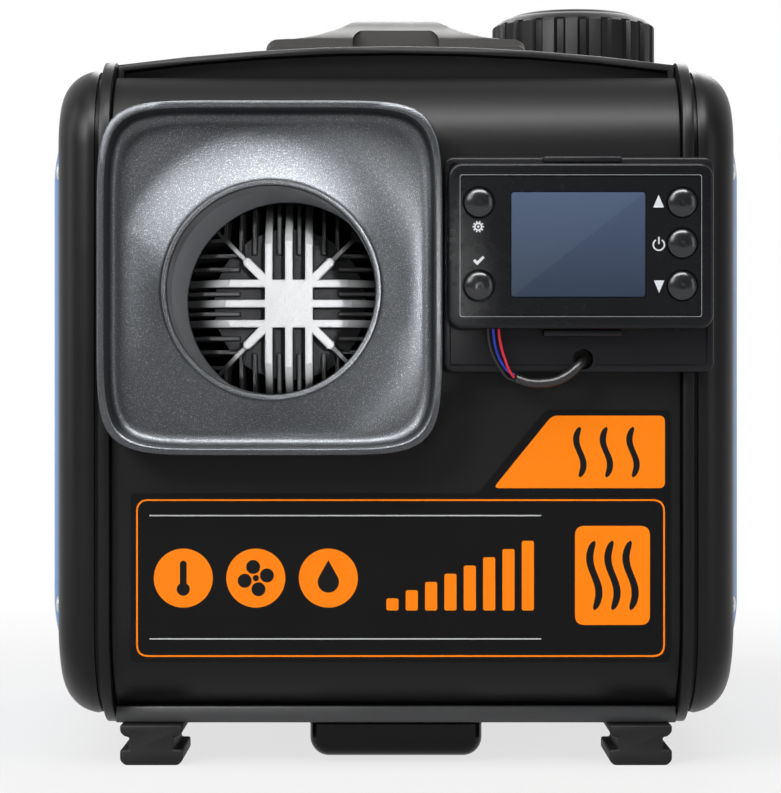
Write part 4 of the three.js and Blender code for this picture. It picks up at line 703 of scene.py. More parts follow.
# Outlet bezel: a squarish moulding in silver-grey grained plastic. A thin rim stands round
# a dish that swells forward to the round lip of the warm air outlet, and the spigot behind
# the lip goes in through the front panel's hole.
BEZEL_X = -0.0513
BEZEL_Z = 0.2025
BEZEL_HALF_WIDTH = 0.0703
BEZEL_HALF_HEIGHT = 0.0721
BEZEL_SQUARENESS = 7
BEZEL_FRONT = -0.200
BEZEL_BACK = -0.1823
DISH_EDGE_INSET = 0.0085
DISH_EDGE_Y = -0.1876
DISH_SWELL = 1.6
DISH_SWELL_WIDTH = 0.022
DISH_STEPS = 24
OUTLET_LIP_Y = -0.194
SPIGOT_BACK = -0.170
BEZEL_SIDES = 160
BEZEL_RIM = [
    (0.0008, BEZEL_BACK), (0, BEZEL_BACK - 0.0008), (0, BEZEL_FRONT + 0.0015),
    (0.0004, BEZEL_FRONT + 0.0004), (0.0010, BEZEL_FRONT), (0.0024, BEZEL_FRONT),
    (0.0029, BEZEL_FRONT + 0.0004), (0.0031, BEZEL_FRONT + 0.0012), (0.0036, DISH_EDGE_Y - 0.0042),
    (0.0041, DISH_EDGE_Y - 0.0024), (0.0051, DISH_EDGE_Y - 0.0010), (0.0066, DISH_EDGE_Y - 0.0002),
]
SPIGOT = [
    (0.0023, OUTLET_LIP_Y + 0.0002), (0.0014, OUTLET_LIP_Y), (0.0005, OUTLET_LIP_Y + 0.0003),
    (0, OUTLET_LIP_Y + 0.001), (0, SPIGOT_BACK), (OUTLET_LIP, SPIGOT_BACK), (OUTLET_LIP, BEZEL_BACK),
]


def bezel_ring(inset, y):
    """A square with bulging sides and soft corners, set in from the bezel's outline."""
    ring = []
    for i in range(BEZEL_SIDES):
        angle = 2 * math.pi * i / BEZEL_SIDES
        across = abs(math.cos(angle) / (BEZEL_HALF_WIDTH - inset)) ** BEZEL_SQUARENESS
        up = abs(math.sin(angle) / (BEZEL_HALF_HEIGHT - inset)) ** BEZEL_SQUARENESS
        radius = (across + up) ** (-1 / BEZEL_SQUARENESS)
        ring.append((BEZEL_X + radius * math.cos(angle), y, BEZEL_Z + radius * math.sin(angle)))
    return ring


def outlet_ring(radius, y):
    turns = [2 * math.pi * i / BEZEL_SIDES for i in range(BEZEL_SIDES)]
    return [(OUTLET_X + radius * math.cos(t), y, OUTLET_Z + radius * math.sin(t)) for t in turns]


def mixed_point(a, b, share, y):
    return a[0] + (b[0] - a[0]) * share, y, a[2] + (b[2] - a[2]) * share


def dish_height(to_lip, width):
    """How far the dish has swelled forward, from its flat floor to the lip, as a share."""
    return (1 - min(1, to_lip / width)) ** DISH_SWELL


def dish_rings():
    """A flat floor inside the rim, then a ring that swells forward to the outlet's lip."""
    edge = bezel_ring(DISH_EDGE_INSET, DISH_EDGE_Y)
    lip_y = OUTLET_LIP_Y + 0.001
    lip = outlet_ring(OUTLET_RADIUS + OUTLET_LIP + EDGE_EASE, lip_y)
    reaches = [math.dist(a[::2], b[::2]) for a, b in zip(edge, lip)]
    rings = []
    for step in range(DISH_STEPS + 1):
        share = step / DISH_STEPS
        ring = []
        for a, b, reach in zip(edge, lip, reaches):
            height = dish_height((1 - share) * reach, min(reach, DISH_SWELL_WIDTH))
            ring.append(mixed_point(a, b, share, DISH_EDGE_Y + (lip_y - DISH_EDGE_Y) * height))
        rings.append(ring)
    return rings


def bezel_rings():
    """From the rim's back edge, over the rim and the dish, and in through the outlet's spigot."""
    rim = [bezel_ring(inset, y) for inset, y in BEZEL_RIM]
    spigot = [outlet_ring(OUTLET_RADIUS + wall, y) for wall, y in SPIGOT]
    return rim + dish_rings() + spigot


def grained_silver(name):
    """Silver-grey paint on coarse-grained plastic, with pale metallic flecks."""
    finish, wire, shader, place = start_finish(name)
    grain = noise(wire, place, 1500, 2, 0.6)
    flecks = noise(wire, place, 2600, 1)
    drift = noise(wire, place, 22, 4)
    base = drift.mix(linear("434548"), linear("505255"))
    spark = wire.node("ShaderNodeClamp", inputs={"Value": (flecks - 0.55) * 4})
    connect(
        shader,
        Base_Color=(spark * 0.45).mix(base, linear("b4b6b8")),
        Roughness=0.34 + (grain - 0.5) * 0.14,
        Metallic=0.92,
        Normal=bump(wire, grain, 0.0001),
    )
    return finish


bezel_finish = grained_silver("bezel_silver_grain")
bezel = skin_mesh("outlet_bezel_dish", bezel_rings(), endless=True)
add_piece("outlet_bezel_dish", bezel, bezel_finish, slot="bezel_grey", stands_for=["outlet_bezel"])


# Top cover: a crowned black moulding between the shells' ribs. Its front edge stands over the
# panel as a brow with a dark closing strip behind it, and a well takes the fingers.
COVER_EASE = 0.0006
WELD_DISTANCE = 0.00001
FLAT_WITHIN = math.radians(1)


def eased_copy(node, ease, segments=2, edge_angle=30):
    """The CAD piece's own form with its flat faces joined up and its edges eased."""
    mesh = bpy.data.meshes.new(f"{node}_form")
    solid = bmesh.new()
    solid.from_mesh(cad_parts[node].data)
    bmesh.ops.remove_doubles(solid, verts=solid.verts, dist=WELD_DISTANCE)
    bmesh.ops.dissolve_limit(
        solid, angle_limit=FLAT_WITHIN, verts=solid.verts, edges=solid.edges
    )
    sharp = [
        edge for edge in solid.edges
        if edge.is_manifold and edge.calc_face_angle(0) > math.radians(edge_angle)
    ]
    bmesh.ops.bevel(
        solid, geom=sharp, offset=ease, segments=segments, profile=0.5, affect="EDGES",
        clamp_overlap=False,
    )
    return close_mesh(mesh, solid)


cover_finish = moulded_plastic("cover_black", "121213", 0.42, depth=0.00003)
add_piece(
    "top_cover_sheet", eased_copy("top_cover", COVER_EASE), cover_finish, slot="case_black",
    stands_for=["top_cover"],
)


# Base tray: a folded steel sheet with a low lip at the front and the back, powder-coated
# dark grey. Everything inside the case is screwed down on it.
TRAY_EASE = 0.0007


def powder_coat(name, hex_code, roughness):
    """Powder-coated sheet steel: soft orange peel under an even colour, a little dusty."""
    finish, wire, shader, place = start_finish(name)
    peel = noise(wire, place, 420, 2)
    dust = noise(wire, place, 35, 5, 0.6)
    colour = linear(hex_code)
    connect(
        shader,
        Base_Color=dust.mix(colour, shaded(colour, 0.85, 0.012)),
        Roughness=roughness + (dust - 0.5) * 0.2,
        Normal=bump(wire, peel, 0.00006),
    )
    return finish


tray_finish = powder_coat("tray_powder_coat", "2c2d2f", 0.45)
add_piece(
    "base_tray", eased_copy("base_plate", TRAY_EASE), tray_finish, slot="tray_grey",
    stands_for=["base_plate"],
)


# Feet: four blocks of black rubber with a broad flange above and below a narrower waist,
# moulded in one piece and screwed to the tray.
FOOT_EASE = 0.0009
FOOT_NODES = ("left_front_foot", "left_rear_foot", "right_front_foot", "right_rear_foot")


def rubber(name, hex_code):
    """Black moulded rubber: matt, finely pitted, paler where dust settles."""
    finish, wire, shader, place = start_finish(name)
    pits = noise(wire, place, 1800, 3, 0.6)
    dust = noise(wire, place, 60, 6, 0.65)
    colour = linear(hex_code)
    connect(
        shader,
        Base_Color=dust.mix(colour, shaded(colour, 1, 0.01)),
        Roughness=0.58 + (dust - 0.5) * 0.25,
        Normal=bump(wire, pits, 0.00007),
        Specular_IOR_Level=0.18,
    )
    return finish


foot_finish = rubber("foot_rubber_black", "151515")
for foot_node in FOOT_NODES:
    foot_form = eased_copy(foot_node, FOOT_EASE, segments=3)
    add_piece(f"{foot_node}_block", foot_form, foot_finish, slot="foot_rubber", stands_for=[foot_node])


# Belly pan: a shallow glossy black tray, vacuum-formed with a big soft radius, that closes
# the underside between the front feet.
BELLY_HALF_WIDTH = 0.0363
BELLY_FRONT = -0.158
BELLY_BACK = -0.020
BELLY_BOTTOM = 0.0025
BELLY_TOP = 0.0169
BELLY_ROUND = 0.008
BELLY_STEPS = 10
LEAST_RADIUS = 0.0002


def belly_ring(inset, z):
    outline = rounded_outline(
        -BELLY_HALF_WIDTH + inset, BELLY_HALF_WIDTH - inset, BELLY_FRONT + inset,
        BELLY_BACK - inset, max(BELLY_ROUND - inset, LEAST_RADIUS),
    )
    return [(x, y, z) for x, y in outline]


def belly_rings():
    """From the flat bottom round the soft edge, up the wall and down inside the tray."""
    rings = []
    for step in range(BELLY_STEPS + 1):
        angle = math.radians(90 * step / BELLY_STEPS)
        inset = BELLY_ROUND * (1 - math.sin(angle))
        rings.append(belly_ring(inset, BELLY_BOTTOM + BELLY_ROUND * (1 - math.cos(angle))))
    rings += [
        belly_ring(0, BELLY_TOP - EDGE_EASE), belly_ring(EDGE_EASE, BELLY_TOP),
        belly_ring(WALL - EDGE_EASE, BELLY_TOP), belly_ring(WALL, BELLY_TOP - EDGE_EASE),
        belly_ring(WALL, BELLY_BOTTOM + 2 * WALL),
    ]
    return rings


def glossy_plastic(name, hex_code, roughness=0.12, shine=0.45):
    """Polished black plastic: deep, with faint wiping marks in the gloss."""
    finish, wire, shader, place = start_finish(name)
    haze = noise(wire, place, 40, 5, 0.6)
    colour = linear(hex_code)
    connect(
        shader,
        Base_Color=haze.mix(colour, shaded(colour, 1.25, 0.001)),
        Roughness=roughness + (haze - 0.5) * 0.1,
        Normal=bump(wire, noise(wire, place, 90, 2), 0.00003),
        Specular_IOR_Level=shine,
    )
    return finish


belly_finish = glossy_plastic("belly_gloss_black", "080809", shine=0.14)
belly = skin_mesh("belly_pan_tray", belly_rings())
add_piece("belly_pan_tray", belly, belly_finish, slot="gloss_black", stands_for=["belly_pan"])


# Carry handle: one stiff grey moulding bolted to the top cover. Its broad ends sweep up to
# a narrow grip with five ridges, and each end has an arched recess.
HANDLE_HALF_LENGTH = 0.112
GRIP_EDGE_ROUND = 0.005
UNDER_ROUND = 0.0025
RIDGE_PITCH = 0.0063
RIDGE_RADIUS = 0.0012
RIDGE_RISE = 0.0009
RIDGE_HALF_LENGTH = 0.069
CROWN_EDGE_Z = 0.2948
CROWN_RISE = 0.008
RIDGE_FADE = 0.003
TOP_ROUND_SHARE = 0.55
UNDER_ROUND_SHARE = 0.3
TOP_STEPS = 140
UNDER_STEPS = 60
GRIP_STATIONS = [0.006 * i for i in range(-9, 10)]
SWEEP_STATIONS = [0.058 + 0.0012 * i for i in range(45)] + [0.1115, HANDLE_HALF_LENGTH]
ARCH_HALF_WIDTH = 0.019
ARCH_BOTTOM = 0.286
ARCH_TOP = 0.3185
ARCH_DEPTH = 0.016
ARCH_FOOT_RADIUS = 0.0005
ARCH_RADIUS = 0.008
HANDLE_SIDE = [
    (0, 0.324), (0.071, 0.324), (0.081, 0.323), (0.091, 0.319), (0.108, 0.312), (0.112, 0.308),
]
HANDLE_SHOULDER = [
    (0, 0.324), (0.0156, 0.324), (0.0195, 0.3224), (0.0255, 0.3185), (0.034, 0.3145), (0.043, 0.3122),
    (0.057, 0.3114),
]
HANDLE_WAIST = [
    (0, 0.0176), (0.062, 0.0176), (0.074, 0.024), (0.084, 0.044), (0.092, 0.057), (0.112, 0.057),
]
HANDLE_UNDER = [
    (0, 0.312), (0.05, 0.312), (0.066, 0.311), (0.076, 0.308), (0.080, 0.302), (0.112, 0.29),
]


def curve_value(points, place):
    """The value at a place along a smooth curve through (place, value) points."""
    for i in range(len(points) - 1):
        (x0, v0), (x1, v1) = points[i], points[i + 1]
        if place <= x1:
            break
    slopes = []
    for k in (i, i + 1):
        before, after = points[max(k - 1, 0)], points[min(k + 1, len(points) - 1)]
        flat = before[1] == points[k][1] or after[1] == points[k][1]
        slopes.append(0 if flat else (after[1] - before[1]) / (after[0] - before[0]))
    t = (place - x0) / (x1 - x0)
    span = x1 - x0
    rise = v0 * (2 * t**3 - 3 * t**2 + 1) + v1 * (3 * t**2 - 2 * t**3)
    return rise + span * (slopes[0] * (t**3 - 2 * t**2 + t) + slopes[1] * (t**3 - t**2))


def crown_height(x):
    """The height of the cover's crowned top, which the handle's feet follow."""
    return CROWN_EDGE_Z + CROWN_RISE * (1 - (x / PANEL_HALF_WIDTH) ** 2)


def rounded_drop(to_edge, radius):
    """How far a rounded edge has dropped, at a distance from the edge."""
    if to_edge >= radius:
        return 0
    return radius - math.sqrt(max(radius**2 - (radius - to_edge) ** 2, 0))


def ridge_rise(x, y):
    """How far the grip's five ridges stand up, fading out at their ends."""
    nearest = min(abs(x - k * RIDGE_PITCH) for k in range(-2, 3))
    if nearest > RIDGE_RADIUS or abs(y) > RIDGE_HALF_LENGTH:
        return 0
    fade = min(1, (RIDGE_HALF_LENGTH - abs(y)) / RIDGE_FADE)
    return RIDGE_RISE * fade * math.sqrt(1 - (nearest / RIDGE_RADIUS) ** 2)


def handle_top(x, y):
    return min(curve_value(HANDLE_SHOULDER, abs(x)), curve_value(HANDLE_SIDE, abs(y)))


def handle_under(x, y):
    return max(crown_height(x) + SEAT_GAP, curve_value(HANDLE_UNDER, abs(y)))


def handle_section(y):
    """The handle cut across at y: over the top from left to right, and back underneath."""
    half = curve_value(HANDLE_WAIST, abs(y))
    edge = handle_top(half, y) - handle_under(half, y)
    top_round = min(GRIP_EDGE_ROUND, TOP_ROUND_SHARE * edge)
    under_round = min(UNDER_ROUND, UNDER_ROUND_SHARE * edge)
    ring = []
    for step in range(TOP_STEPS + 1):
        x = half * math.sin(math.pi * (step / TOP_STEPS - 0.5))
        height = handle_top(x, y) + ridge_rise(x, y)
        ring.append((x, y, height - rounded_drop(half - abs(x), top_round)))
    for step in range(UNDER_STEPS + 1):
        x = half * math.sin(math.pi * (0.5 - step / UNDER_STEPS))
        ring.append((x, y, handle_under(x, y) + rounded_drop(half - abs(x), under_round)))
    return ring


def upright_prism(name, outline, y0, y1):
    """A solid with an outline in (x, z), between two depths."""
    return skin_mesh(name, [[(x, y, z) for x, z in outline] for y in (y0, y1)])


handle_stations = [-y for y in reversed(SWEEP_STATIONS)] + GRIP_STATIONS + SWEEP_STATIONS
handle_form = skin_mesh("handle_form", [handle_section(y) for y in handle_stations])
arch_outline = rounded_outline(
    -ARCH_HALF_WIDTH, ARCH_HALF_WIDTH, ARCH_BOTTOM, ARCH_TOP, ARCH_FOOT_RADIUS, ARCH_RADIUS
)
arch_ends = (HANDLE_HALF_LENGTH - ARCH_DEPTH, HANDLE_HALF_LENGTH + CUT_PAST)
arch_back = upright_prism("arch", arch_outline, *arch_ends)
arch_front = upright_prism("arch", arch_outline, -arch_ends[1], -arch_ends[0])
handle_finish = moulded_plastic(
    "handle_satin_grey", "42403e", 0.42, grain=1800, depth=0.00005, spread=0.1, tone=0.08
)
add_piece(
    "carry_handle_grip", cut_away(handle_form, arch_front, arch_back), handle_finish,
    slot="handle_grey", stands_for=["carry_handle"],
)


# Filler collar: a thin ring in the side panels' blue plastic, pressed over the filler neck
# where it comes up through the crowned cover.
COLLAR_EASE = 0.0004
add_piece(
    "filler_collar_ring", eased_copy("filler_collar", COLLAR_EASE), blue_finish, slot="side_blue",
    stands_for=["filler_collar"],
)


# Fuel cap: a black moulded screw cap. Its skirt has wide grip ribs with narrow grooves
# between them, its top is a shallow dome inside a low step, and a rubber seal lies inside.
FILLER_X = 0.084
FILLER_Y = -0.020
CAP_RADIUS = 0.0382
CAP_BORE = 0.0286
CAP_BORE_TOP = 0.3241
CAP_BOTTOM = 0.3038
CAP_SHOULDER = 0.3285
CAP_RIBS = 22
CAP_GROOVE = 0.0018
CAP_RIB_STEPS = 18
GROOVE_MIDDLE = 0.7
GROOVE_REACH = 0.24
GROOVE_FLANK = 0.1
CAP_SKIRT = [
    (CAP_BORE, 0, CAP_BORE_TOP), (CAP_BORE, 0, CAP_BOTTOM + 0.0005), (CAP_BORE + 0.0005, 0, CAP_BOTTOM),
    (CAP_RADIUS - 0.0025, 0, CAP_BOTTOM), (CAP_RADIUS - 0.0006, 0.8, CAP_BOTTOM + 0.0002),
    (CAP_RADIUS, 1, CAP_BOTTOM + 0.0008), (CAP_RADIUS, 1, CAP_SHOULDER - 0.0012),
    (CAP_RADIUS - 0.0003, 0.9, CAP_SHOULDER - 0.0004), (CAP_RADIUS - 0.0009, 0.5, CAP_SHOULDER),
]
CAP_DOME = [
    (0.0366, 0.3290), (0.0352, 0.3300), (0.0336, 0.3312), (0.0318, 0.3319), (0.0304, 0.3321),
    (0.0296, 0.3325), (0.0288, 0.3332), (0.0276, 0.3337), (0.023, 0.3343), (0.0155, 0.3347),
    (0.007, 0.33495), (0.001, 0.335),
]


def cap_ring(radius, groove_share, z):
    """A round of the cap; each rib's share of the turn holds one groove with sloping flanks."""
    ring = []
    count = CAP_RIBS * CAP_RIB_STEPS
    for i in range(count):
        phase = (i % CAP_RIB_STEPS) / CAP_RIB_STEPS
        depth = min(1, max(0, (GROOVE_REACH - abs(phase - GROOVE_MIDDLE)) / GROOVE_FLANK))
        reach = radius - CAP_GROOVE * groove_share * depth * depth * (3 - 2 * depth)
        turn = 2 * math.pi * i / count
        ring.append((FILLER_X + reach * math.cos(turn), FILLER_Y + reach * math.sin(turn), z))
    return ring


cap_finish = moulded_plastic("cap_satin_black", "111112", 0.46, grain=900, depth=0.00006)
cap_rings = [cap_ring(radius, share, z) for radius, share, z in CAP_SKIRT]
cap_rings += [cap_ring(radius, 0, z) for radius, z in CAP_DOME]
cap_form = skin_mesh("fuel_cap_form", cap_rings)
add_piece(
    "fuel_cap_ribbed", cap_form, cap_finish, body="fuel_cap", slot="cap_black",
    stands_for=["fuel_cap"],
)


def dress(finish, *nodes):
    """Gives CAD pieces that show as they are their finish."""
    for node in nodes:
        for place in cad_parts[node].material_slots:
            place.material = finish


dress(rubber("seal_rubber", "202020"), "cap_seal")


# Outlet duct: a short moulded cone of dark grey nylon that carries the warm air from the
# heater's mouth to the bezel. It is pushed over the heater's front ring.
DUCT_FRONT = -0.1737
DUCT_BACK = -0.1123
DUCT_FRONT_BORE = 0.0463
DUCT_BACK_BORE = 0.044
DUCT_WALL = 0.0025
ROUND_STEPS = 96


def round_ring(x, z, radius, y):
    turns = [2 * math.pi * i / ROUND_STEPS for i in range(ROUND_STEPS)]
    return [(x + radius * math.cos(t), y, z + radius * math.sin(t)) for t in turns]


duct_rings = [
    round_ring(OUTLET_X, OUTLET_Z, DUCT_FRONT_BORE, DUCT_FRONT),
    round_ring(OUTLET_X, OUTLET_Z, DUCT_FRONT_BORE + DUCT_WALL, DUCT_FRONT),
    round_ring(HEATER_X, HEATER_Z, DUCT_BACK_BORE + DUCT_WALL, DUCT_BACK),
    round_ring(HEATER_X, HEATER_Z, DUCT_BACK_BORE, DUCT_BACK),
]
duct_finish = moulded_plastic("duct_dark_grey", "8b8d90", 0.45, depth=0.00005)
duct = skin_mesh("outlet_duct_cone", duct_rings, endless=True)
add_piece("outlet_duct_cone", duct, duct_finish, slot="duct_grey", stands_for=["outlet_duct"])


# Heat exchanger: a sand-cast aluminium body. Its end is a star of three ribs each way round
# a square pad with four diagonal arms, and straight fins run back along it.
STAR_EASE = 0.0005
STAR_FRONT = -0.102
# Where the painted shade on the casting starts behind its end face, and where it is full.
STAR_SHADE_START = STAR_FRONT + 0.0008
STAR_SHADE_FULL = STAR_FRONT + 0.0095


def cast_aluminium(name, hex_code, metallic, roughness):
    """Sand-cast aluminium: bright and grainy, with darker patches here and there."""
    finish, wire, shader, place = start_finish(name)
    sand = noise(wire, place, 1100, 4, 0.7)
    patches = noise(wire, place, 55, 4, 0.6)
    colour = linear(hex_code)
    connect(
        shader,
        Base_Color=patches.mix(shaded(colour, 0.78), colour),
        Metallic=metallic,
        Roughness=roughness + (sand - 0.5) * 0.25,
        Normal=bump(wire, sand, 0.00018),
    )
    return finish


def star_casting_with_painted_shade(name):
    """Cast aluminium, its end face nearly white, with painted shade darkening it deeper inside."""
    finish, wire, shader, place = start_finish(name)
    sand = noise(wire, place, 1100, 4, 0.7)
    patches = noise(wire, place, 55, 4, 0.6)
    along = wire.node("ShaderNodeSeparateXYZ", inputs={0: place}, output=1)
    # Painted shade: the colour runs from the pale end face to near black a little way back.
    depth = wire.node(
        "ShaderNodeMapRange",
        {"interpolation_type": "SMOOTHSTEP"},
        {"Value": along, "From Min": STAR_SHADE_START, "From Max": STAR_SHADE_FULL},
    )
    bright = patches.mix(linear("d9dbdd"), linear("f2f3f4"))
    connect(
        shader,
        Base_Color=depth.mix(bright, patches.mix(linear("29292b"), linear("363739"))),
        Metallic=0.25,
        Roughness=0.46 + (sand - 0.5) * 0.25,
        Normal=bump(wire, sand, 0.0004),
    )
    return finish


star_finish = star_casting_with_painted_shade("exchanger_casting")
star = eased_copy("heat_exchanger", STAR_EASE)
add_piece("exchanger_casting", star, star_finish, slot="cast_aluminium", stands_for=["heat_exchanger"])


# Heater core: the black nylon casing round the exchanger, the cast burner with its fuel
# nipple, the blower motor in its steel can with a nylon fan, and the control unit. They are
# screwed together and stay hidden unless the case is opened.
FAN_EASE = 0.0004
dress(moulded_plastic("casing_nylon", "1c1c1e", 0.5, grain=700, depth=0.00008), "heater_casing")
dress(cast_aluminium("burner_casting", "8e9092", 0.7, 0.5), "burner_head")
dress(plated_steel("motor_can", "9a9c9e", 0.34), "blower_motor")
dress(moulded_plastic("control_unit_case", "242426", 0.45), "control_unit")
fan_finish = moulded_plastic("fan_nylon", "26272a", 0.5, grain=600, depth=0.00006)
fan_form = eased_copy("air_fan", FAN_EASE)
add_piece("air_fan_wheel", fan_form, fan_finish, body="air_fan", slot="cap_black", stands_for=["air_fan"])


# Intake grille: a round black guard moulding on the back panel. A rim, two hoops and a cross
# of spokes keep fingers from the fan, and a collar reaches in to the heater casing.
GRILLE_FRONT = 0.1773
GRILLE_BACK = 0.1843
GRILLE_RIM = 0.054
GRILLE_RIM_BORE = 0.046
GRILLE_COLLAR = 0.047
GRILLE_BORE = 0.044
GRILLE_COLLAR_END = 0.1738
GRILLE_LEDGE = GRILLE_FRONT + 0.001
GRILLE_EASE = 0.0008
COLLAR_GAP = 0.0002
HOOP_RADII = (0.032, 0.017)
HOOP_WIDTH = 0.0025
HOOP_EASE = GRILLE_EASE / 2
HOOP_FRONT = GRILLE_FRONT + 0.002
HOOP_BACK = GRILLE_BACK - 0.001
SPOKE_HALF_LENGTH = 0.0475
SPOKE_HALF_WIDTH = 0.0015
SPOKE_DEGREES = (45, 135)
BOX_EASE_STEPS = 3


def turned_ring(name, profile, x, z):
    """A closed ring about an axis along Y: the profile is a loop of (radius, y)."""
    return skin_mesh(name, [round_ring(x, z, radius, y) for radius, y in profile], endless=True)


def joined_mesh(name, *parts):
    """One mesh of several closed shells that are moulded or welded together."""
    mesh = bpy.data.meshes.new(name)
    solid = bmesh.new()
    for part in parts:
        solid.from_mesh(part)
    return close_mesh(mesh, solid)


def eased_box(name, low, high, ease):
    """A box with rounded edges."""
    solid = bmesh.new()
    solid.from_mesh(box_mesh(name, low, high))
    bmesh.ops.bevel(
        solid, geom=solid.edges, offset=ease, segments=BOX_EASE_STEPS, profile=0.5, affect="EDGES",
        clamp_overlap=True,
    )
    return close_mesh(bpy.data.meshes.new(name), solid)


def turned_about_y(mesh, x, z, degrees):
    """Turns a mesh about an axis along Y through (x, z)."""
    turn = math.radians(degrees)
    for vertex in mesh.vertices:
        dx, dz = vertex.co.x - x, vertex.co.z - z
        vertex.co.x = x + dx * math.cos(turn) - dz * math.sin(turn)
        vertex.co.z = z + dx * math.sin(turn) + dz * math.cos(turn)
    return mesh


def grille_parts():
    """The rim with its collar, the two hoops and the two bars that cross in the middle."""
    yield turned_ring("rim", [
        (GRILLE_COLLAR - COLLAR_GAP, GRILLE_COLLAR_END), (GRILLE_BORE, GRILLE_COLLAR_END),
        (GRILLE_BORE, GRILLE_LEDGE), (GRILLE_RIM_BORE, GRILLE_LEDGE),
        (GRILLE_RIM_BORE, GRILLE_BACK - GRILLE_EASE), (GRILLE_RIM_BORE + GRILLE_EASE, GRILLE_BACK),
        (GRILLE_RIM - 2 * GRILLE_EASE, GRILLE_BACK), (GRILLE_RIM, GRILLE_BACK - 2 * GRILLE_EASE),
        (GRILLE_RIM, GRILLE_FRONT), (GRILLE_COLLAR, GRILLE_FRONT),
    ], HEATER_X, HEATER_Z)
    for radius in HOOP_RADII:
        yield turned_ring("hoop", [
            (radius - HOOP_WIDTH, HOOP_FRONT), (radius - HOOP_WIDTH, HOOP_BACK - HOOP_EASE),
            (radius - HOOP_WIDTH + HOOP_EASE, HOOP_BACK), (radius - HOOP_EASE, HOOP_BACK),
            (radius, HOOP_BACK - HOOP_EASE), (radius, HOOP_FRONT),
        ], HEATER_X, HEATER_Z)
    for degrees in SPOKE_DEGREES:
        spoke = eased_box(
            "spoke", (HEATER_X - SPOKE_HALF_LENGTH, HOOP_FRONT, HEATER_Z - SPOKE_HALF_WIDTH),
            (HEATER_X + SPOKE_HALF_LENGTH, HOOP_BACK, HEATER_Z + SPOKE_HALF_WIDTH), HOOP_EASE,
        )
        yield turned_about_y(spoke, HEATER_X, HEATER_Z, degrees)


grille = joined_mesh("intake_guard", *grille_parts())
add_piece("intake_guard", grille, panel_finish, slot="case_black", stands_for=["intake_grille"])


# Exhaust and air pipes: bent tubes that come down from the heater, turn and leave through
# the back panel. The exhaust is stainless steel, the air pipe black flexible plastic.
PIPE_BEND = 0.026
PIPE_TOP = 0.122
PIPE_BEND_STEPS = 16
PIPE_SIDES = 48
HOTTEST_Y = 0.03
COOLEST_Y = 0.2
PIPES = {
    "exhaust_pipe": (-0.025, 0.020, 0.0015, 0.200),
    "air_pipe": (-0.072, 0.066, 0.002, 0.194),
}


def pipe_rings(x, y, radius, end):
    """Down from the heater at (x, y), round the bend, and back along Y to the end."""
    turns = [2 * math.pi * i / PIPE_SIDES for i in range(PIPE_SIDES)]
    rings = [[(x + radius * math.cos(t), y + radius * math.sin(t), PIPE_TOP) for t in turns]]
    for step in range(PIPE_BEND_STEPS + 1):
        bend = math.radians(90 * step / PIPE_BEND_STEPS)
        ring = []
        for t in turns:
            reach = PIPE_BEND - radius * math.sin(t)
            ring.append((
                x + radius * math.cos(t), y + PIPE_BEND - reach * math.cos(bend),
                PIPE_Z + PIPE_BEND - reach * math.sin(bend),
            ))
        rings.append(ring)
    rings.append([(x + radius * math.cos(t), end, PIPE_Z + radius * math.sin(t)) for t in turns])
    return rings


def heat_stained_steel(name):
    """Stainless tube: brushed, straw-coloured and bluish where the exhaust heats it."""
    finish, wire, shader, place = start_finish(name)
    along = wire.node("ShaderNodeSeparateXYZ", inputs={0: place}, output=1)
    heat = wire.node(
        "ShaderNodeMapRange", inputs={"Value": along, "From Min": COOLEST_Y, "From Max": HOTTEST_Y}
    )
    stain = noise(wire, place, 70, 4, 0.6)
    tint = (heat * 0.7 + stain * 0.3).mix(linear("c9c6c1"), linear("9a8468"))
    connect(
        shader, Base_Color=tint, Metallic=1.0, Roughness=0.26 + stain * 0.2,
        Normal=bump(wire, noise(wire, place, 1500, 2), 0.00002),
    )
    return finish


PIPE_FINISHES = {
    "exhaust_pipe": heat_stained_steel("exhaust_steel"),
    "air_pipe": moulded_plastic("air_pipe_nylon", "1a1a1b", 0.5, depth=0.00005),
}
PIPE_SLOTS = {"exhaust_pipe": "plain_steel", "air_pipe": "foot_rubber"}
for pipe_node, (pipe_x, pipe_y, pipe_wall, pipe_end) in PIPES.items():
    outer = pipe_rings(pipe_x, pipe_y, PIPE_RADIUS, pipe_end)
    inner = pipe_rings(pipe_x, pipe_y, PIPE_RADIUS - pipe_wall, pipe_end)
    tube = skin_mesh(f"{pipe_node}_tube", outer + list(reversed(inner)), endless=True)
    add_piece(
        f"{pipe_node}_tube", tube, PIPE_FINISHES[pipe_node], slot=PIPE_SLOTS[pipe_node],
        stands_for=[pipe_node],
    )


# Fuel tank, pump, stand and power supply: a milky polyethylene tank with its neck, a steel
# dosing pump, and folded steel for the heater's stand and the power supply's case.
def milky_plastic(name, hex_code):
    """Blow-moulded polyethylene: waxy, slightly uneven and faintly yellowed."""
    finish, wire, shader, place = start_finish(name)
    cloud = noise(wire, place, 18, 4)
    colour = linear(hex_code)
    yellowed = [colour[0] * 0.96, colour[1] * 0.94, colour[2] * 0.84, 1]
    connect(
        shader,
        Base_Color=cloud.mix(colour, yellowed),
        Roughness=0.38 + (cloud - 0.5) * 0.12,
        Normal=bump(wire, noise(wire, place, 160, 3), 0.00008),
    )
    return finish


dress(milky_plastic("tank_polyethylene", "d8d9d4"), "fuel_tank")
dress(plated_steel("pump_zinc", "aeb0b2", 0.32), "fuel_pump")
dress(plated_steel("stand_galvanised", "8f9295", 0.42), "heater_stand", "power_supply")


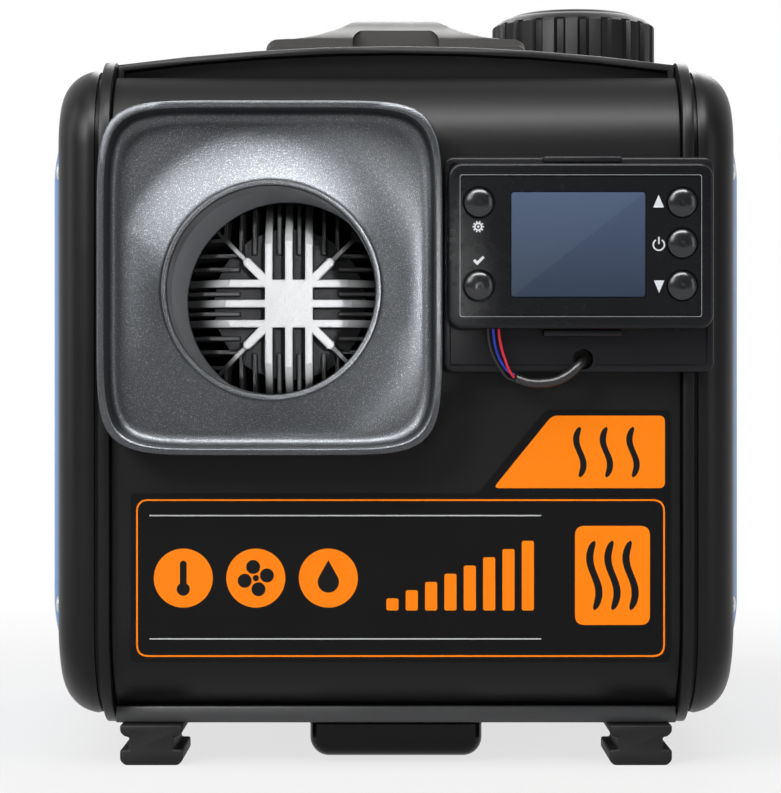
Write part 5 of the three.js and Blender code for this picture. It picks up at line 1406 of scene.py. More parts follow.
# Fuel hoses: green nylon lines held at both ends, one from the tank's spout to the pump and
# one from the pump up the heater's left side to the burner's nipple.
SUCTION_ROUTE = [
    (19.6, -95, 40), (14, -95, 40), (0, -100, 40.5), (-12, -112, 41.5), (-22, -118, 42),
    (-27.6, -118, 42),
]
DELIVERY_ROUTE = [
    (-100.5, -118, 42), (-106, -118, 43), (-113, -110, 50), (-115.5, -90, 66), (-116.5, -50, 92),
    (-120, -15, 112), (-126.5, 15, 126), (-130.5, 36, 139.5), (-131, 55.2, 155.6),
    (-128.6, 60.6, 162.8), (-122, 64.6, 168.1), (-112.8, 66, 170),
]
hose_finish = insulation("hose_green_nylon", "4a8f57")
HOSES = {"suction_hose": (SUCTION_ROUTE, 3), "delivery_hose": (DELIVERY_ROUTE, 2)}
for hose_node, (hose_route, hose_radius) in HOSES.items():
    cord_piece(f"{hose_node}_line", hose_route, hose_radius, hose_finish, "hose_green", hose_node)


# Mains inlet: a black moulding screwed to the back panel, with the socket for the lead and
# a red rocker switch beside it.
INLET_EASE = 0.0004
ROCKER_EASE = 0.0006
ROCKER_EDGE_ANGLE = 20
add_piece(
    "mains_inlet_body", eased_copy("mains_inlet", INLET_EASE),
    moulded_plastic("inlet_nylon", "151516", 0.42), slot="cap_black",
    stands_for=["mains_inlet"],
)
add_piece(
    "rocker_key", eased_copy("rocker_switch", ROCKER_EASE, segments=3, edge_angle=ROCKER_EDGE_ANGLE),
    moulded_plastic("rocker_red_gloss", "b02222", 0.22, depth=0.00002),
    body="rocker_switch", slot="rocker_red", stands_for=["rocker_switch"],
)


# Controller cradle: a black moulded plate on the front panel with a low rim, and a springy
# tab above and below that the controller snaps between.
CRADLE_LEFT = 0.0194
CRADLE_RIGHT = 0.1302
CRADLE_BOTTOM = 0.1645
CRADLE_TOP = 0.2526
CRADLE_FRONT = -0.188
CRADLE_BACK = -0.1823
CRADLE_RADIUS = 0.004
CRADLE_RIM = 0.0026
CRADLE_RECESS = 0.0008
CRADLE_RING = [
    (0.0004, CRADLE_BACK), (0, CRADLE_BACK - 0.0004), (0, CRADLE_FRONT + 0.0010),
    (0.0002, CRADLE_FRONT + 0.0004), (0.0006, CRADLE_FRONT + 0.0001), (0.0010, CRADLE_FRONT),
    (CRADLE_RIM, CRADLE_FRONT), (CRADLE_RIM + 0.0003, CRADLE_FRONT + 0.0003),
    (CRADLE_RIM + 0.0005, CRADLE_FRONT + CRADLE_RECESS),
]
CRADLE_HOLE_SIDES = 48
SEAT_BACK = -0.1773
SEAT_RIGHT = 0.1177
SEAT_INSET = 0.001
SEAT_DROP = 0.003
SEAT_EASE = 0.0005
CONTROLLER_BOTTOM = 0.182
CONTROLLER_TOP = 0.2494
TAB_LEFT = 0.060
TAB_RIGHT = 0.092
TAB_ROOT = 0.001
TAB_EASE = 0.0008
CRADLE_TABS = {
    "cradle_top_tab": (CONTROLLER_TOP + SEAT_GAP, CRADLE_TOP - 0.0002, 0.008),
    "cradle_bottom_tab": (CONTROLLER_BOTTOM - 0.003, CONTROLLER_BOTTOM - SEAT_GAP, 0.007),
}


def cradle_ring(inset, y):
    outline = rounded_outline(
        CRADLE_LEFT + inset, CRADLE_RIGHT - inset, CRADLE_BOTTOM + inset, CRADLE_TOP - inset,
        max(CRADLE_RADIUS - inset, 0.0004),
    )
    return [(x, y, z) for x, z in outline]


cradle_finish = moulded_plastic("cradle_black", "17171a", 0.36, depth=0.00003)
cradle_plate = skin_mesh("cradle_plate", [cradle_ring(inset, y) for inset, y in CRADLE_RING])
hole_ends = (CRADLE_FRONT - CUT_PAST, SEAT_BACK + 2 * CUT_PAST)
cradle_hole = rod_mesh(*CABLE_HOLE, CABLE_HOLE_RADIUS, *hole_ends, CRADLE_HOLE_SIDES)
add_piece(
    "cradle_plate", cut_away(cradle_plate, cradle_hole), cradle_finish, slot="case_black",
    stands_for=["controller_cradle"],
)
cradle_seat = eased_box(
    "cradle_seat", (CRADLE_LEFT + SEAT_INSET, CRADLE_BACK - SEAT_EASE, CRADLE_BOTTOM + SEAT_INSET),
    (SEAT_RIGHT, SEAT_BACK, CRADLE_TOP - SEAT_DROP), SEAT_EASE,
)
add_piece("cradle_seat", cut_away(cradle_seat, cradle_hole), cradle_finish, slot="case_black")
for tab_name, (tab_low, tab_high, tab_reach) in CRADLE_TABS.items():
    tab = eased_box(
        tab_name, (TAB_LEFT, CRADLE_FRONT - tab_reach, tab_low),
        (TAB_RIGHT, CRADLE_FRONT + TAB_ROOT, tab_high), TAB_EASE,
    )
    add_piece(tab_name, tab, cradle_finish, slot="case_black")


# Controller shells: a moulded black back tray with a slot for the wires, and a face shell
# that snaps on it, with five button holes, the window's recess and a fine groove round the
# face. A green circuit board lies between them.
CONTROLLER_LEFT = 0.021
CONTROLLER_RIGHT = 0.1289
CONTROLLER_RADIUS = 0.006
CONTROLLER_BACK = -0.1883
CONTROLLER_SPLIT = -0.1943
CONTROLLER_FACE = -0.1986
CONTROLLER_LEAST_RADIUS = 0.0008
FACE_ROUND = 0.0015
FACE_ROUND_STEPS = 8
FACE_GROOVE_INSET = 0.0051
FACE_GROOVE_WIDTH = 0.0007
FACE_GROOVE_DEPTH = 0.0006
GROOVE_OUTER_RADIUS = 0.0012
GROOVE_INNER_RADIUS = 0.0008
SHELL_WALL = 0.0025
TRAY_DEPTH = CONTROLLER_BACK - 0.002
TRAY_PROFILE = [
    (SHELL_WALL, TRAY_DEPTH), (SHELL_WALL, CONTROLLER_SPLIT), (0.0003, CONTROLLER_SPLIT),
    (0, CONTROLLER_SPLIT + 0.0003), (0, CONTROLLER_BACK - 0.0012), (0.0004, CONTROLLER_BACK - 0.0004),
    (0.0012, CONTROLLER_BACK),
]
WIRE_SLOT = (0.0365, 0.044)
WIRE_SLOT_HEIGHT = 0.005
LCD_LEFT = 0.0467
LCD_RIGHT = 0.1012
LCD_BOTTOM = 0.1949
LCD_TOP = 0.2375
LCD_RADIUS = 0.0012
LCD_RECESS = 0.0018
BUTTON_RADIUS = 0.006
BUTTON_CLEARANCE = 0.0003
BUTTON_HOLE_BEVEL = 0.0005
BUTTON_SIDES = 64
BUTTON_SPOTS = {
    "menu_button": (0.0336, 0.2332),
    "confirm_button": (0.0336, 0.1994),
    "up_button": (0.1162, 0.2332),
    "power_button": (0.1162, 0.2166),
    "down_button": (0.1162, 0.1994),
}
VENT_NOTCHES = (0.2105, 0.2138, 0.2171, 0.2204)
NOTCH_LEFT = 0.0218
NOTCH_WIDTH = 0.0020
NOTCH_HEIGHT = 0.0017
NOTCH_DEPTH = 0.0012


def controller_ring(inset, y, radius=CONTROLLER_RADIUS):
    outline = rounded_outline(
        CONTROLLER_LEFT + inset, CONTROLLER_RIGHT - inset, CONTROLLER_BOTTOM + inset,
        CONTROLLER_TOP - inset, max(radius - inset, CONTROLLER_LEAST_RADIUS),
    )
    return [(x, y, z) for x, z in outline]


def face_form():
    """The face shell before its holes are cut: a block with a rounded front edge."""
    split = CONTROLLER_SPLIT - SEAT_GAP
    rings = [controller_ring(SEAT_GAP, split), controller_ring(0, split - SEAT_GAP)]
    for step in range(FACE_ROUND_STEPS + 1):
        angle = math.radians(90 * step / FACE_ROUND_STEPS)
        inset = FACE_ROUND * (1 - math.cos(angle))
        rings.append(controller_ring(inset, CONTROLLER_FACE + FACE_ROUND * (1 - math.sin(angle))))
    return skin_mesh("face_form", rings)


def button_hole(x, z):
    """The tool for a button's hole, with a small bevel round its mouth."""
    bore = BUTTON_RADIUS + BUTTON_CLEARANCE
    mouth = bore + BUTTON_HOLE_BEVEL
    front, back = CONTROLLER_FACE - CUT_PAST, CONTROLLER_SPLIT + CUT_PAST
    profile = [
        (0, front), (mouth, front), (mouth, CONTROLLER_FACE),
        (bore, CONTROLLER_FACE + BUTTON_HOLE_BEVEL), (bore, back), (0, back),
    ]
    return turned_mesh("hole", profile, (x, 0, z), "y", BUTTON_SIDES)


def face_groove():
    """The tool for the fine groove that runs round the face."""
    front, back = CONTROLLER_FACE - CUT_PAST, CONTROLLER_FACE + FACE_GROOVE_DEPTH
    inner = FACE_GROOVE_INSET + FACE_GROOVE_WIDTH
    rings = [
        controller_ring(FACE_GROOVE_INSET, front, FACE_GROOVE_INSET + GROOVE_OUTER_RADIUS),
        controller_ring(FACE_GROOVE_INSET, back, FACE_GROOVE_INSET + GROOVE_OUTER_RADIUS),
        controller_ring(inner, back, inner + GROOVE_INNER_RADIUS),
        controller_ring(inner, front, inner + GROOVE_INNER_RADIUS),
    ]
    return skin_mesh("groove", rings, endless=True)


def window_recess():
    """The tool for the recess that the display window lies in."""
    outline = rounded_outline(
        LCD_LEFT - SEAT_GAP, LCD_RIGHT + SEAT_GAP, LCD_BOTTOM - SEAT_GAP, LCD_TOP + SEAT_GAP,
        LCD_RADIUS + SEAT_GAP,
    )
    return upright_prism("recess", outline, CONTROLLER_FACE - CUT_PAST, CONTROLLER_FACE + LCD_RECESS)


def vent_notch(z):
    """The tool for one of the four small slots at the face's left edge."""
    low = (NOTCH_LEFT, CONTROLLER_FACE - CUT_PAST, z)
    high = (NOTCH_LEFT + NOTCH_WIDTH, CONTROLLER_FACE + NOTCH_DEPTH, z + NOTCH_HEIGHT)
    return box_mesh("notch", low, high)


def back_tray():
    """The hollow back shell, with the slot in its lower wall that lets the wires out."""
    slot_box = box_mesh(
        "slot", (WIRE_SLOT[0], CONTROLLER_SPLIT - CUT_PAST, CONTROLLER_BOTTOM - CUT_PAST),
        (WIRE_SLOT[1], TRAY_DEPTH, CONTROLLER_BOTTOM + WIRE_SLOT_HEIGHT),
    )
    tray = skin_mesh("back_tray", [controller_ring(inset, y) for inset, y in TRAY_PROFILE])
    return cut_away(tray, slot_box)


shell_gloss = moulded_plastic(
    "controller_black", "151618", 0.27, grain=2000, depth=0.00002, spread=0.08
)
face_cuts = [button_hole(x, z) for x, z in BUTTON_SPOTS.values()]
face_cuts += [face_groove(), window_recess()] + [vent_notch(z) for z in VENT_NOTCHES]
add_piece(
    "controller_face_shell", cut_away(face_form(), *face_cuts), shell_gloss, slot="gloss_black",
    stands_for=["controller_face"],
)
add_piece(
    "controller_back_tray", back_tray(), shell_gloss, slot="gloss_black", stands_for=["controller_back"],
)


def circuit_board(name):
    """Green solder mask over copper, mottled where tracks run under it."""
    finish, wire, shader, place = start_finish(name)
    tracks = noise(wire, place, 600, 1)
    connect(
        shader,
        Base_Color=(tracks.over(0.52)).mix(linear("1f4d30"), linear("2f6a44")),
        Roughness=0.35 + tracks * 0.2,
    )
    return finish


dress(circuit_board("board_solder_mask"), "controller_board")


# Face prints: pale marks beside the buttons, for menu, confirm, up, down and power, all
# screen-printed. A fine pale line along the groove is a painted highlight of its edge.
PRINT_THICKNESS = 0.00004
HIGHLIGHT_OUTER_INSET = FACE_GROOVE_INSET - 0.0003
HIGHLIGHT_INNER_INSET = FACE_GROOVE_INSET - 0.00005
HIGHLIGHT_RADIUS = 0.001
GEAR_TEETH = 10
GEAR_TOOTH = ((-10, 1.7), (-7, 2.35), (7, 2.35), (10, 1.7))


def print_mesh(name, loops, front_y):
    """A flat print on an upright face, from closed outlines in (x, z); inner ones are holes."""
    flat = bpy.data.curves.new(name, "CURVE")
    flat.dimensions = "2D"
    flat.fill_mode = "BOTH"
    flat.extrude = PRINT_THICKNESS / 2
    for loop in loops:
        spline = flat.splines.new("POLY")
        spline.points.add(len(loop) - 1)
        for target, (x, z) in zip(spline.points, loop):
            target.co = (x, z, 0, 1)
        spline.use_cyclic_u = True
    holder = bpy.data.objects.new(name, flat)
    bpy.context.scene.collection.objects.link(holder)
    bpy.context.view_layer.update()
    graph = bpy.context.evaluated_depsgraph_get()
    mesh = bpy.data.meshes.new_from_object(holder.evaluated_get(graph))
    bpy.data.objects.remove(holder)
    bpy.data.curves.remove(flat)
    for vertex in mesh.vertices:
        x, z, height = vertex.co
        vertex.co = (x, front_y + PRINT_THICKNESS / 2 - height, z)
    return mesh


def ink(name, hex_code, roughness):
    """Screen-printed ink: even, with a slight unevenness at the mesh's scale."""
    finish, wire, shader, place = start_finish(name)
    mesh_mark = noise(wire, place, 2400, 2)
    colour = linear(hex_code)
    connect(
        shader,
        Base_Color=mesh_mark.mix(shaded(colour, 0.93), colour),
        Roughness=roughness + mesh_mark * 0.1,
        Specular_IOR_Level=0.12,
    )
    return finish


def moved(points, x, z):
    """Points in millimetres about a mark's middle, as places on the face in metres."""
    return [(a / 1000 + x, b / 1000 + z) for a, b in points]


def gear_mark():
    """A gear's toothed outline with a ring cut out of it and a dot in the middle."""
    teeth = []
    for i in range(GEAR_TEETH):
        for degrees, radius in GEAR_TOOTH:
            turn = math.radians(360 / GEAR_TEETH * i + degrees)
            teeth.append((radius * math.cos(turn), radius * math.sin(turn)))
    return [teeth, arc(0, 0, 1.05, 0, 345, 23), arc(0, 0, 0.5, 0, 345, 23)]


def power_mark():
    """A ring that is open at the top, with an upright stroke in the gap."""
    ring = arc(0, 0, 2.55, 122, 418, 40) + list(reversed(arc(0, 0, 1.95, 122, 418, 40)))
    return [ring, [(-0.32, 0.3), (0.32, 0.3), (0.32, 3.2), (-0.32, 3.2)]]


FACE_MARKS = {
    "menu_mark": (0.0333, 0.2234, gear_mark()),
    "confirm_mark": (0.0335, 0.2094, [
        [(-2.3, 0.1), (-1.5, 0.9), (-0.6, 0), (1.7, 2.2), (2.4, 1.4), (-0.6, -1.6)],
    ]),
    "up_mark": (0.1065, 0.2337, [[(-2.2, -2.5), (2.2, -2.5), (0, 2.6)]]),
    "power_mark": (0.1066, 0.2161, power_mark()),
    "down_mark": (0.1067, 0.1991, [[(-2.1, 2.5), (0, -2.6), (2.1, 2.5)]]),
}
mark_finish = ink("mark_ink", "d3d6da", 0.35)
for mark_name, (mark_x, mark_z, mark_loops) in FACE_MARKS.items():
    loops = [moved(loop, mark_x, mark_z) for loop in mark_loops]
    mark = print_mesh(mark_name, loops, CONTROLLER_FACE - PRINT_THICKNESS)
    add_piece(mark_name, mark, mark_finish, slot="label_print")
# Painted highlight: a thin pale ring where the groove's outer edge catches the light.
groove_highlight_loops = [
    [(x, z) for x, y, z in controller_ring(inset, 0, inset + HIGHLIGHT_RADIUS)]
    for inset in (HIGHLIGHT_OUTER_INSET, HIGHLIGHT_INNER_INSET)
]
groove_highlight_mesh = print_mesh("groove_painted_highlight", groove_highlight_loops, CONTROLLER_FACE - PRINT_THICKNESS)
add_piece("groove_painted_highlight", groove_highlight_mesh, ink("groove_highlight_paint", "8b8e91", 0.25), slot="label_print")


# Display window: a pane of tinted acrylic, glued into the face shell's recess. It is dark
# blue-grey while the display is off; a painted reflection lightens its top and upper left half.
WINDOW_FRONT = -0.1985
WINDOW_BACK = -0.1971
WINDOW_EASE = 0.0002


def pane_ring(inset, y):
    outline = rounded_outline(
        LCD_LEFT + inset, LCD_RIGHT - inset, LCD_BOTTOM + inset, LCD_TOP - inset, LCD_RADIUS - inset
    )
    return [(x, y, z) for x, z in outline]


def tinted_pane(name):
    """Tinted acrylic over a dark display, with a painted reflection: lighter at the top and above a faint
    diagonal.
    """
    finish, wire, shader, place = start_finish(name)
    across = wire.node("ShaderNodeSeparateXYZ", inputs={0: place}, output=0)
    up = wire.node("ShaderNodeSeparateXYZ", inputs={0: place}, output=2)
    right = (across - LCD_LEFT) / (LCD_RIGHT - LCD_LEFT)
    rise = (up - LCD_BOTTOM) / (LCD_TOP - LCD_BOTTOM)
    # Painted reflection: the tint lightens towards the top, and more across the upper left half above a
    # diagonal.
    shade = rise.mix(linear("2d384b"), linear("445169"))
    reflection_mask = (rise - right).over(0.0)
    paler = rise.mix(linear("36414f"), linear("4a5871"))
    connect(shader, Base_Color=reflection_mask.mix(shade, paler), Roughness=0.18 + noise(wire, place, 60) * 0.04)
    return finish


pane_rings = [
    pane_ring(0, WINDOW_BACK), pane_ring(0, WINDOW_FRONT + WINDOW_EASE),
    pane_ring(WINDOW_EASE, WINDOW_FRONT),
]
pane = skin_mesh("display_pane", pane_rings)
add_piece(
    "display_pane", pane, tinted_pane("pane_tint_painted_reflection"), slot="display_blue", stands_for=["display_window"]
)


# Push buttons: five glossy black plastic domes, each moulded with a flange that holds it
# behind the face shell and a tiny dimple in the middle.
BUTTON_TOP = -0.1999
BUTTON_DOME = 0.002
BUTTON_FLANGE = -0.1942
BUTTON_FLANGE_THICKNESS = 0.0008
BUTTON_FLANGE_WIDTH = 0.001
DOME_START = 4
DOME_STEPS = 12
DIMPLE = [(0, BUTTON_TOP + 0.00022), (0.0003, BUTTON_TOP + 0.0002)]


def button_profile():
    """From the dimple out over the dome, down its side and round the flange."""
    dome = []
    for step in range(1, DOME_STEPS + 1):
        angle = math.radians(DOME_START + (90 - DOME_START) * step / DOME_STEPS)
        drop = BUTTON_DOME * (1 - math.cos(angle))
        dome.append((BUTTON_RADIUS * math.sin(angle), BUTTON_TOP + drop))
    back = BUTTON_FLANGE + BUTTON_FLANGE_THICKNESS
    rim = BUTTON_RADIUS + BUTTON_FLANGE_WIDTH
    return DIMPLE + dome + [(BUTTON_RADIUS, BUTTON_FLANGE), (rim, BUTTON_FLANGE), (rim, back), (0, back)]


button_finish = glossy_plastic("button_gloss", "1b1c1e", 0.2)
for button_node, (button_x, button_z) in BUTTON_SPOTS.items():
    dome_name = f"{button_node}_dome"
    dome_form = turned_mesh(dome_name, button_profile(), (button_x, 0, button_z), "y", BUTTON_SIDES)
    add_piece(
        dome_name, dome_form, button_finish, body=button_node, slot="gloss_black",
        stands_for=[button_node],
    )


# Front label: a glossy black printed sheet on the front panel, in orange and pale grey. It
# carries only generic signs: heat waves, a thermometer, a fan, a drop and a level scale.
LABEL_BACK = -0.1773
LABEL_FRONT = -0.1778
LABEL_CORNERS = [
    (-109.7, 44.6), (113.4, 44.6), (113.4, 148.8), (62, 148.8), (34, 114.2), (-109.7, 114.2),
]
FIELD_CORNERS = [(64.5, 146.6), (40.2, 116.6), (111.2, 116.6), (111.2, 146.6)]
FRAME_CORNERS = [(-107.5, 46.8), (111.2, 46.8), (111.2, 112), (-107.5, 112)]
FRAME_LINE = 0.7
FRAME_MIDDLE_Z = 80
SHEET_RADIUS = 2
FIELD_RADIUS = 2.5
FRAME_RADIUS = 5
FRAME_INNER_RADIUS = 4.4
BLOCK_RADIUS = 4
BAR_RADIUS = 0.9
POLYGON_STEPS = 6
BLOCK_CORNERS = [(74, 60), (105, 60), (105, 101), (74, 101)]
ROUNDEL_X = (-88, -58, -28)
ROUNDEL_Z = 79.4
ROUNDEL_RADIUS = 12.2
BAR_X = (-4, 4, 12, 20, 28, 36, 44, 52)
BAR_WIDTH = 5
BAR_BOTTOM = 66
BAR_FIRST = 5
BAR_STEP = 3.4
BLOCK_WAVE_X = (82, 89.5, 97)
FIELD_WAVE_X = (76, 87, 98)
WAVE_STEPS = 30
RULE_LEFT = -102
RULE_RIGHT = 60
RULE_THICKNESS = 0.5
RULE_Z = (54, 105)


def rounded_polygon(corners, radius):
    """An outline whose corners are rounded off, starting a radius away from each corner."""
    outline = []
    for i, corner in enumerate(corners):
        corner = Vector(corner)
        start = corner + (Vector(corners[i - 1]) - corner).normalized() * radius
        end = corner + (Vector(corners[(i + 1) % len(corners)]) - corner).normalized() * radius
        for step in range(POLYGON_STEPS + 1):
            t = step / POLYGON_STEPS
            outline.append(tuple(start.lerp(corner, t).lerp(corner.lerp(end, t), t)))
    return outline


def heat_wave(x, low, high, sway, width):
    """An upright wavy stroke with round ends."""
    left, right = [], []
    for step in range(WAVE_STEPS + 1):
        share = step / WAVE_STEPS
        middle = x + sway * math.sin(2 * math.pi * share)
        half = width / 2 * math.sqrt(max(1 - abs(2 * share - 1) ** 8, 0)) + 0.01
        left.append((middle - half, low + (high - low) * share))
        right.append((middle + half, low + (high - low) * share))
    return left + list(reversed(right))


def thermometer(x, z):
    """A bulb with a round-topped stem."""
    stem = [(1.4, -2.4), (1.4, 5.8), *arc(0, 5.8, 1.4, 20, 160, 8), (-1.4, 5.8), (-1.4, -2.4)]
    bulb = arc(0, -4.6, 2.7, 122, 418, 24)
    return [[(x + a, z + b) for a, b in stem + bulb]]


def fan_sign(x, z):
    """A hub with four round blades about it."""
    loops = [[(x + a, z + b) for a, b in arc(0, 0, 1.3, 0, 340, 17)]]
    for turn in (0, 90, 180, 270):
        blade = arc(4.6, 1.1, 2.9, 10, 350, 20)
        cosine, sine = math.cos(math.radians(turn)), math.sin(math.radians(turn))
        loops.append([(x + a * cosine - b * sine, z + a * sine + b * cosine) for a, b in blade])
    return loops


def drop_sign(x, z):
    """A fuel drop: a round foot drawn up to a point."""
    return [[(x, z + 7.4), *[(x + a, z + b) for a, b in arc(0, -1.6, 4.4, 150, 390, 24)]]]


def label_piece(name, loops_mm, finish, layer):
    """A print on the label; a higher layer lies on the ones below it."""
    loops = [[(a / 1000, b / 1000) for a, b in loop] for loop in loops_mm]
    mesh = print_mesh(name, loops, LABEL_FRONT - layer * PRINT_THICKNESS)
    add_piece(name, mesh, finish, slot="label_print")


label_outline = [(x / 1000, z / 1000) for x, z in rounded_polygon(LABEL_CORNERS, SHEET_RADIUS)]
label_finish = glossy_plastic("label_black", "09090a", 0.42, 0.1)
orange_ink = ink("label_orange", "ff8300", 0.42)
black_ink = ink("label_sign_black", "0c0c0d", 0.42)
grey_ink = ink("label_grey", "c4c6c8", 0.3)
add_piece(
    "label_sheet", upright_prism("label_sheet", label_outline, LABEL_FRONT, LABEL_BACK),
    label_finish, slot="label_print", stands_for=["front_label"],
)
inner_corners = []
for x, z in FRAME_CORNERS:
    inward_x = FRAME_LINE if x < 0 else -FRAME_LINE
    inward_z = FRAME_LINE if z < FRAME_MIDDLE_Z else -FRAME_LINE
    inner_corners.append((x + inward_x, z + inward_z))
frame_loops = [
    rounded_polygon(FRAME_CORNERS, FRAME_RADIUS), rounded_polygon(inner_corners, FRAME_INNER_RADIUS),
]
label_piece("label_frame", frame_loops, orange_ink, 1)
label_piece("label_field", [rounded_polygon(FIELD_CORNERS, FIELD_RADIUS)], orange_ink, 1)
label_piece("label_block", [rounded_polygon(BLOCK_CORNERS, BLOCK_RADIUS)], orange_ink, 1)
roundels = [arc(x, ROUNDEL_Z, ROUNDEL_RADIUS, 0, 354, 59) for x in ROUNDEL_X]
label_piece("label_roundels", roundels, orange_ink, 1)
signs = [*thermometer(ROUNDEL_X[0], ROUNDEL_Z), *drop_sign(ROUNDEL_X[2], ROUNDEL_Z)]
label_piece("label_signs", signs, black_ink, 2)
label_piece("label_fan_sign", fan_sign(ROUNDEL_X[1], ROUNDEL_Z), black_ink, 2)
bars = []
for i, left in enumerate(BAR_X):
    right = left + BAR_WIDTH
    top = BAR_BOTTOM + BAR_FIRST + BAR_STEP * i
    bar_corners = [(left, BAR_BOTTOM), (right, BAR_BOTTOM), (right, top), (left, top)]
    bars.append(rounded_polygon(bar_corners, BAR_RADIUS))
label_piece("label_level_bars", bars, orange_ink, 1)
block_waves = [heat_wave(x, low=66, high=95, sway=1.9, width=3) for x in BLOCK_WAVE_X]
label_piece("label_block_waves", block_waves, black_ink, 2)
field_waves = [heat_wave(x, low=121, high=142, sway=1.5, width=2.6) for x in FIELD_WAVE_X]
label_piece("label_field_waves", field_waves, black_ink, 2)
rules = []
for z in RULE_Z:
    top = z + RULE_THICKNESS
    rules.append([(RULE_LEFT, z), (RULE_RIGHT, z), (RULE_RIGHT, top), (RULE_LEFT, top)])
label_piece("label_rules", rules, grey_ink, 1)


# Studio: a pale floor that fades to white round the heater, in a white surround that shiny
# faces see dark in front. The key lamp stands up on the left, with soft boxes on the right,
# above and behind, and a narrow lamp shines into the outlet's mouth.
FLOOR_HALF = 3.0
SHADOW_REACH = 0.26
WHITE_REACH = 0.75
FLOOR_GLOW = 0.72
FLOOR_SHADES = ([0.8, 0.8, 0.8, 1], [0.84, 0.84, 0.84, 1])
WHITE = [1, 1, 1, 1]
FRONT_GLOSS = 0.03
BACK_GLOSS = 1.0
AMBIENT = 0.08
KEY_PLACE = (-0.85, -1.35, 1.0)
KEY_AIM = (-0.03, -0.18, 0.17)
CASE_MIDDLE = (0, 0, 0.15)
FRONT_MIDDLE = (0, -0.1, 0.15)
MOUTH_LAMP_PLACE = (0.22, -1.6, 0.26)
MOUTH_LAMP_WATTS = 60
MOUTH_LAMP_SPREAD = math.radians(4.6)
MOUTH_LAMP_SOFTNESS = 0.35
MOUTH_LAMP_RADIUS = 0.02


def floor_finish():
    """Matt pale paint that keeps the heater's shadow, and glows white further out."""
    finish = bpy.data.materials.new("pale_floor")
    finish.use_nodes = True
    tree = finish.node_tree
    tree.nodes.clear()
    wire = Wire(tree)
    place = wire.node("ShaderNodeTexCoord", output=3)
    reach = wire.node("ShaderNodeVectorMath", {"operation": "LENGTH"}, {0: place}, output=1)
    fade = wire.node(
        "ShaderNodeMapRange",
        inputs={"Value": reach, "From Min": SHADOW_REACH, "From Max": WHITE_REACH, "To Min": FLOOR_GLOW},
    )
    seen = ray_share(wire)
    grain = noise(wire, place, 900, 2)
    matt = wire.node("ShaderNodeBsdfDiffuse", inputs={"Color": grain.mix(*FLOOR_SHADES)})
    glow = wire.node("ShaderNodeEmission", inputs={"Color": WHITE, "Strength": 1.0})
    blend = wire.node("ShaderNodeMixShader", inputs={0: fade * seen, 1: matt, 2: glow})
    end = tree.nodes.new("ShaderNodeOutputMaterial")
    tree.links.new(blend.socket, end.inputs[0])
    return finish


def ray_share(wire):
    """1 where the camera looks, also by way of a mirror or through glass."""
    seen = [wire.node("ShaderNodeLightPath", output=name) for name in (
        "Is Camera Ray", "Is Glossy Ray", "Is Transmission Ray",
    )]
    return seen[0].maths("MAXIMUM", seen[0], seen[1].maths("MAXIMUM", seen[1], seen[2]))


floor_mesh = bpy.data.meshes.new("floor")
floor_mesh.from_pydata(
    [(x * FLOOR_HALF, y * FLOOR_HALF, 0) for x, y in ((-1, -1), (1, -1), (1, 1), (-1, 1))],
    [], [(0, 1, 2, 3)],
)
floor_mesh.materials.append(floor_finish())
floor = bpy.data.objects.new("floor", floor_mesh)
bpy.context.scene.collection.objects.link(floor)

world = bpy.data.worlds.new("surround")
bpy.context.scene.world = world
world.use_nodes = True
world.node_tree.nodes.clear()
air = Wire(world.node_tree)
direction = air.node("ShaderNodeTexCoord", output=0)
along = air.node("ShaderNodeSeparateXYZ", inputs={0: direction}, output=1)
gloss = air.node(
    "ShaderNodeMapRange",
    inputs={
        "Value": along, "From Min": -0.55, "From Max": 0.35, "To Min": FRONT_GLOSS, "To Max": BACK_GLOSS,
    },
)
camera_ray = air.node("ShaderNodeLightPath", output="Is Camera Ray")
mirror_ray = air.node("ShaderNodeLightPath", output="Is Glossy Ray")
clear_ray = air.node("ShaderNodeLightPath", output="Is Transmission Ray")
plain = camera_ray.maths("MAXIMUM", camera_ray, clear_ray)
strength = plain + (1 - plain) * (mirror_ray * gloss + (1 - mirror_ray) * AMBIENT)
surround = air.node("ShaderNodeBackground", inputs={"Color": WHITE, "Strength": strength})
world_end = world.node_tree.nodes.new("ShaderNodeOutputWorld")
world.node_tree.links.new(surround.socket, world_end.inputs[0])


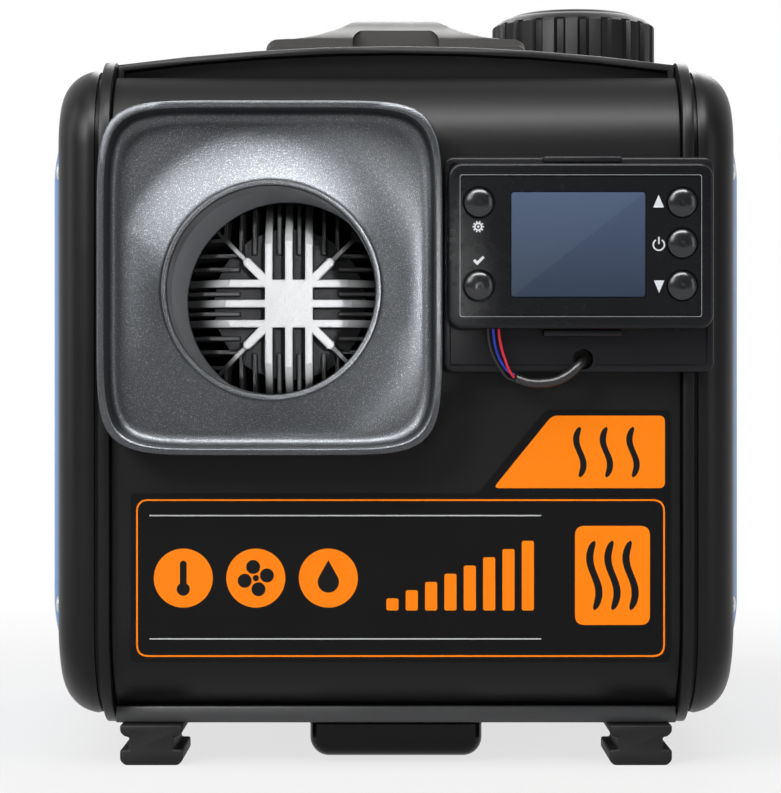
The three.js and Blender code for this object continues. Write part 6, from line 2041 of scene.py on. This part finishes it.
def soft_box(name, place, aim, width, height, watts, mirrored=True, diffuse=True):
    """A rectangular lamp turned to its aim, seen in reflections and lighting matt faces."""
    data = bpy.data.lights.new(name, "AREA")
    data.shape = "RECTANGLE"
    data.size = width
    data.size_y = height
    data.energy = watts
    lamp = bpy.data.objects.new(name, data)
    lamp.location = place
    lamp.rotation_euler = (Vector(aim) - Vector(place)).to_track_quat("-Z", "Y").to_euler()
    lamp.visible_glossy = mirrored
    lamp.visible_diffuse = diffuse
    bpy.context.scene.collection.objects.link(lamp)


soft_box("key_box", KEY_PLACE, KEY_AIM, 0.7, 0.7, 9)
soft_box("key_glint", KEY_PLACE, KEY_AIM, 0.5, 0.5, 38, diffuse=False)
soft_box("top_box", (-0.05, -0.75, 1.5), FRONT_MIDDLE, 1.5, 0.9, 10)
soft_box("right_box", (1.1, -1.1, 0.45), FRONT_MIDDLE, 0.35, 0.8, 3)
soft_box("front_fill", (-0.1, -1.7, 0.3), (0, -0.18, 0.15), 0.6, 0.6, 7.2, mirrored=False)
soft_box("brow_glint", (0.05, -0.5, 0.62), (0, -0.17, 0.26), 0.5, 0.14, 5, diffuse=False)
soft_box("left_strip", (-1.4, -0.3, 0.7), CASE_MIDDLE, 0.4, 1.2, 6)
soft_box("rear_box", (0.2, 1.5, 1.3), CASE_MIDDLE, 1.2, 0.8, 15)
mouth_data = bpy.data.lights.new("mouth_lamp", "SPOT")
mouth_data.energy = MOUTH_LAMP_WATTS
mouth_data.spot_size = MOUTH_LAMP_SPREAD
mouth_data.spot_blend = MOUTH_LAMP_SOFTNESS
mouth_data.shadow_soft_size = MOUTH_LAMP_RADIUS
mouth_lamp = bpy.data.objects.new("mouth_lamp", mouth_data)
mouth_lamp.location = MOUTH_LAMP_PLACE
mouth_aim = Vector((HEATER_X, STAR_FRONT, HEATER_Z)) - mouth_lamp.location
mouth_lamp.rotation_euler = mouth_aim.to_track_quat("-Z", "Y").to_euler()
bpy.context.scene.collection.objects.link(mouth_lamp)
bpy.context.scene.view_settings.view_transform = "Standard"
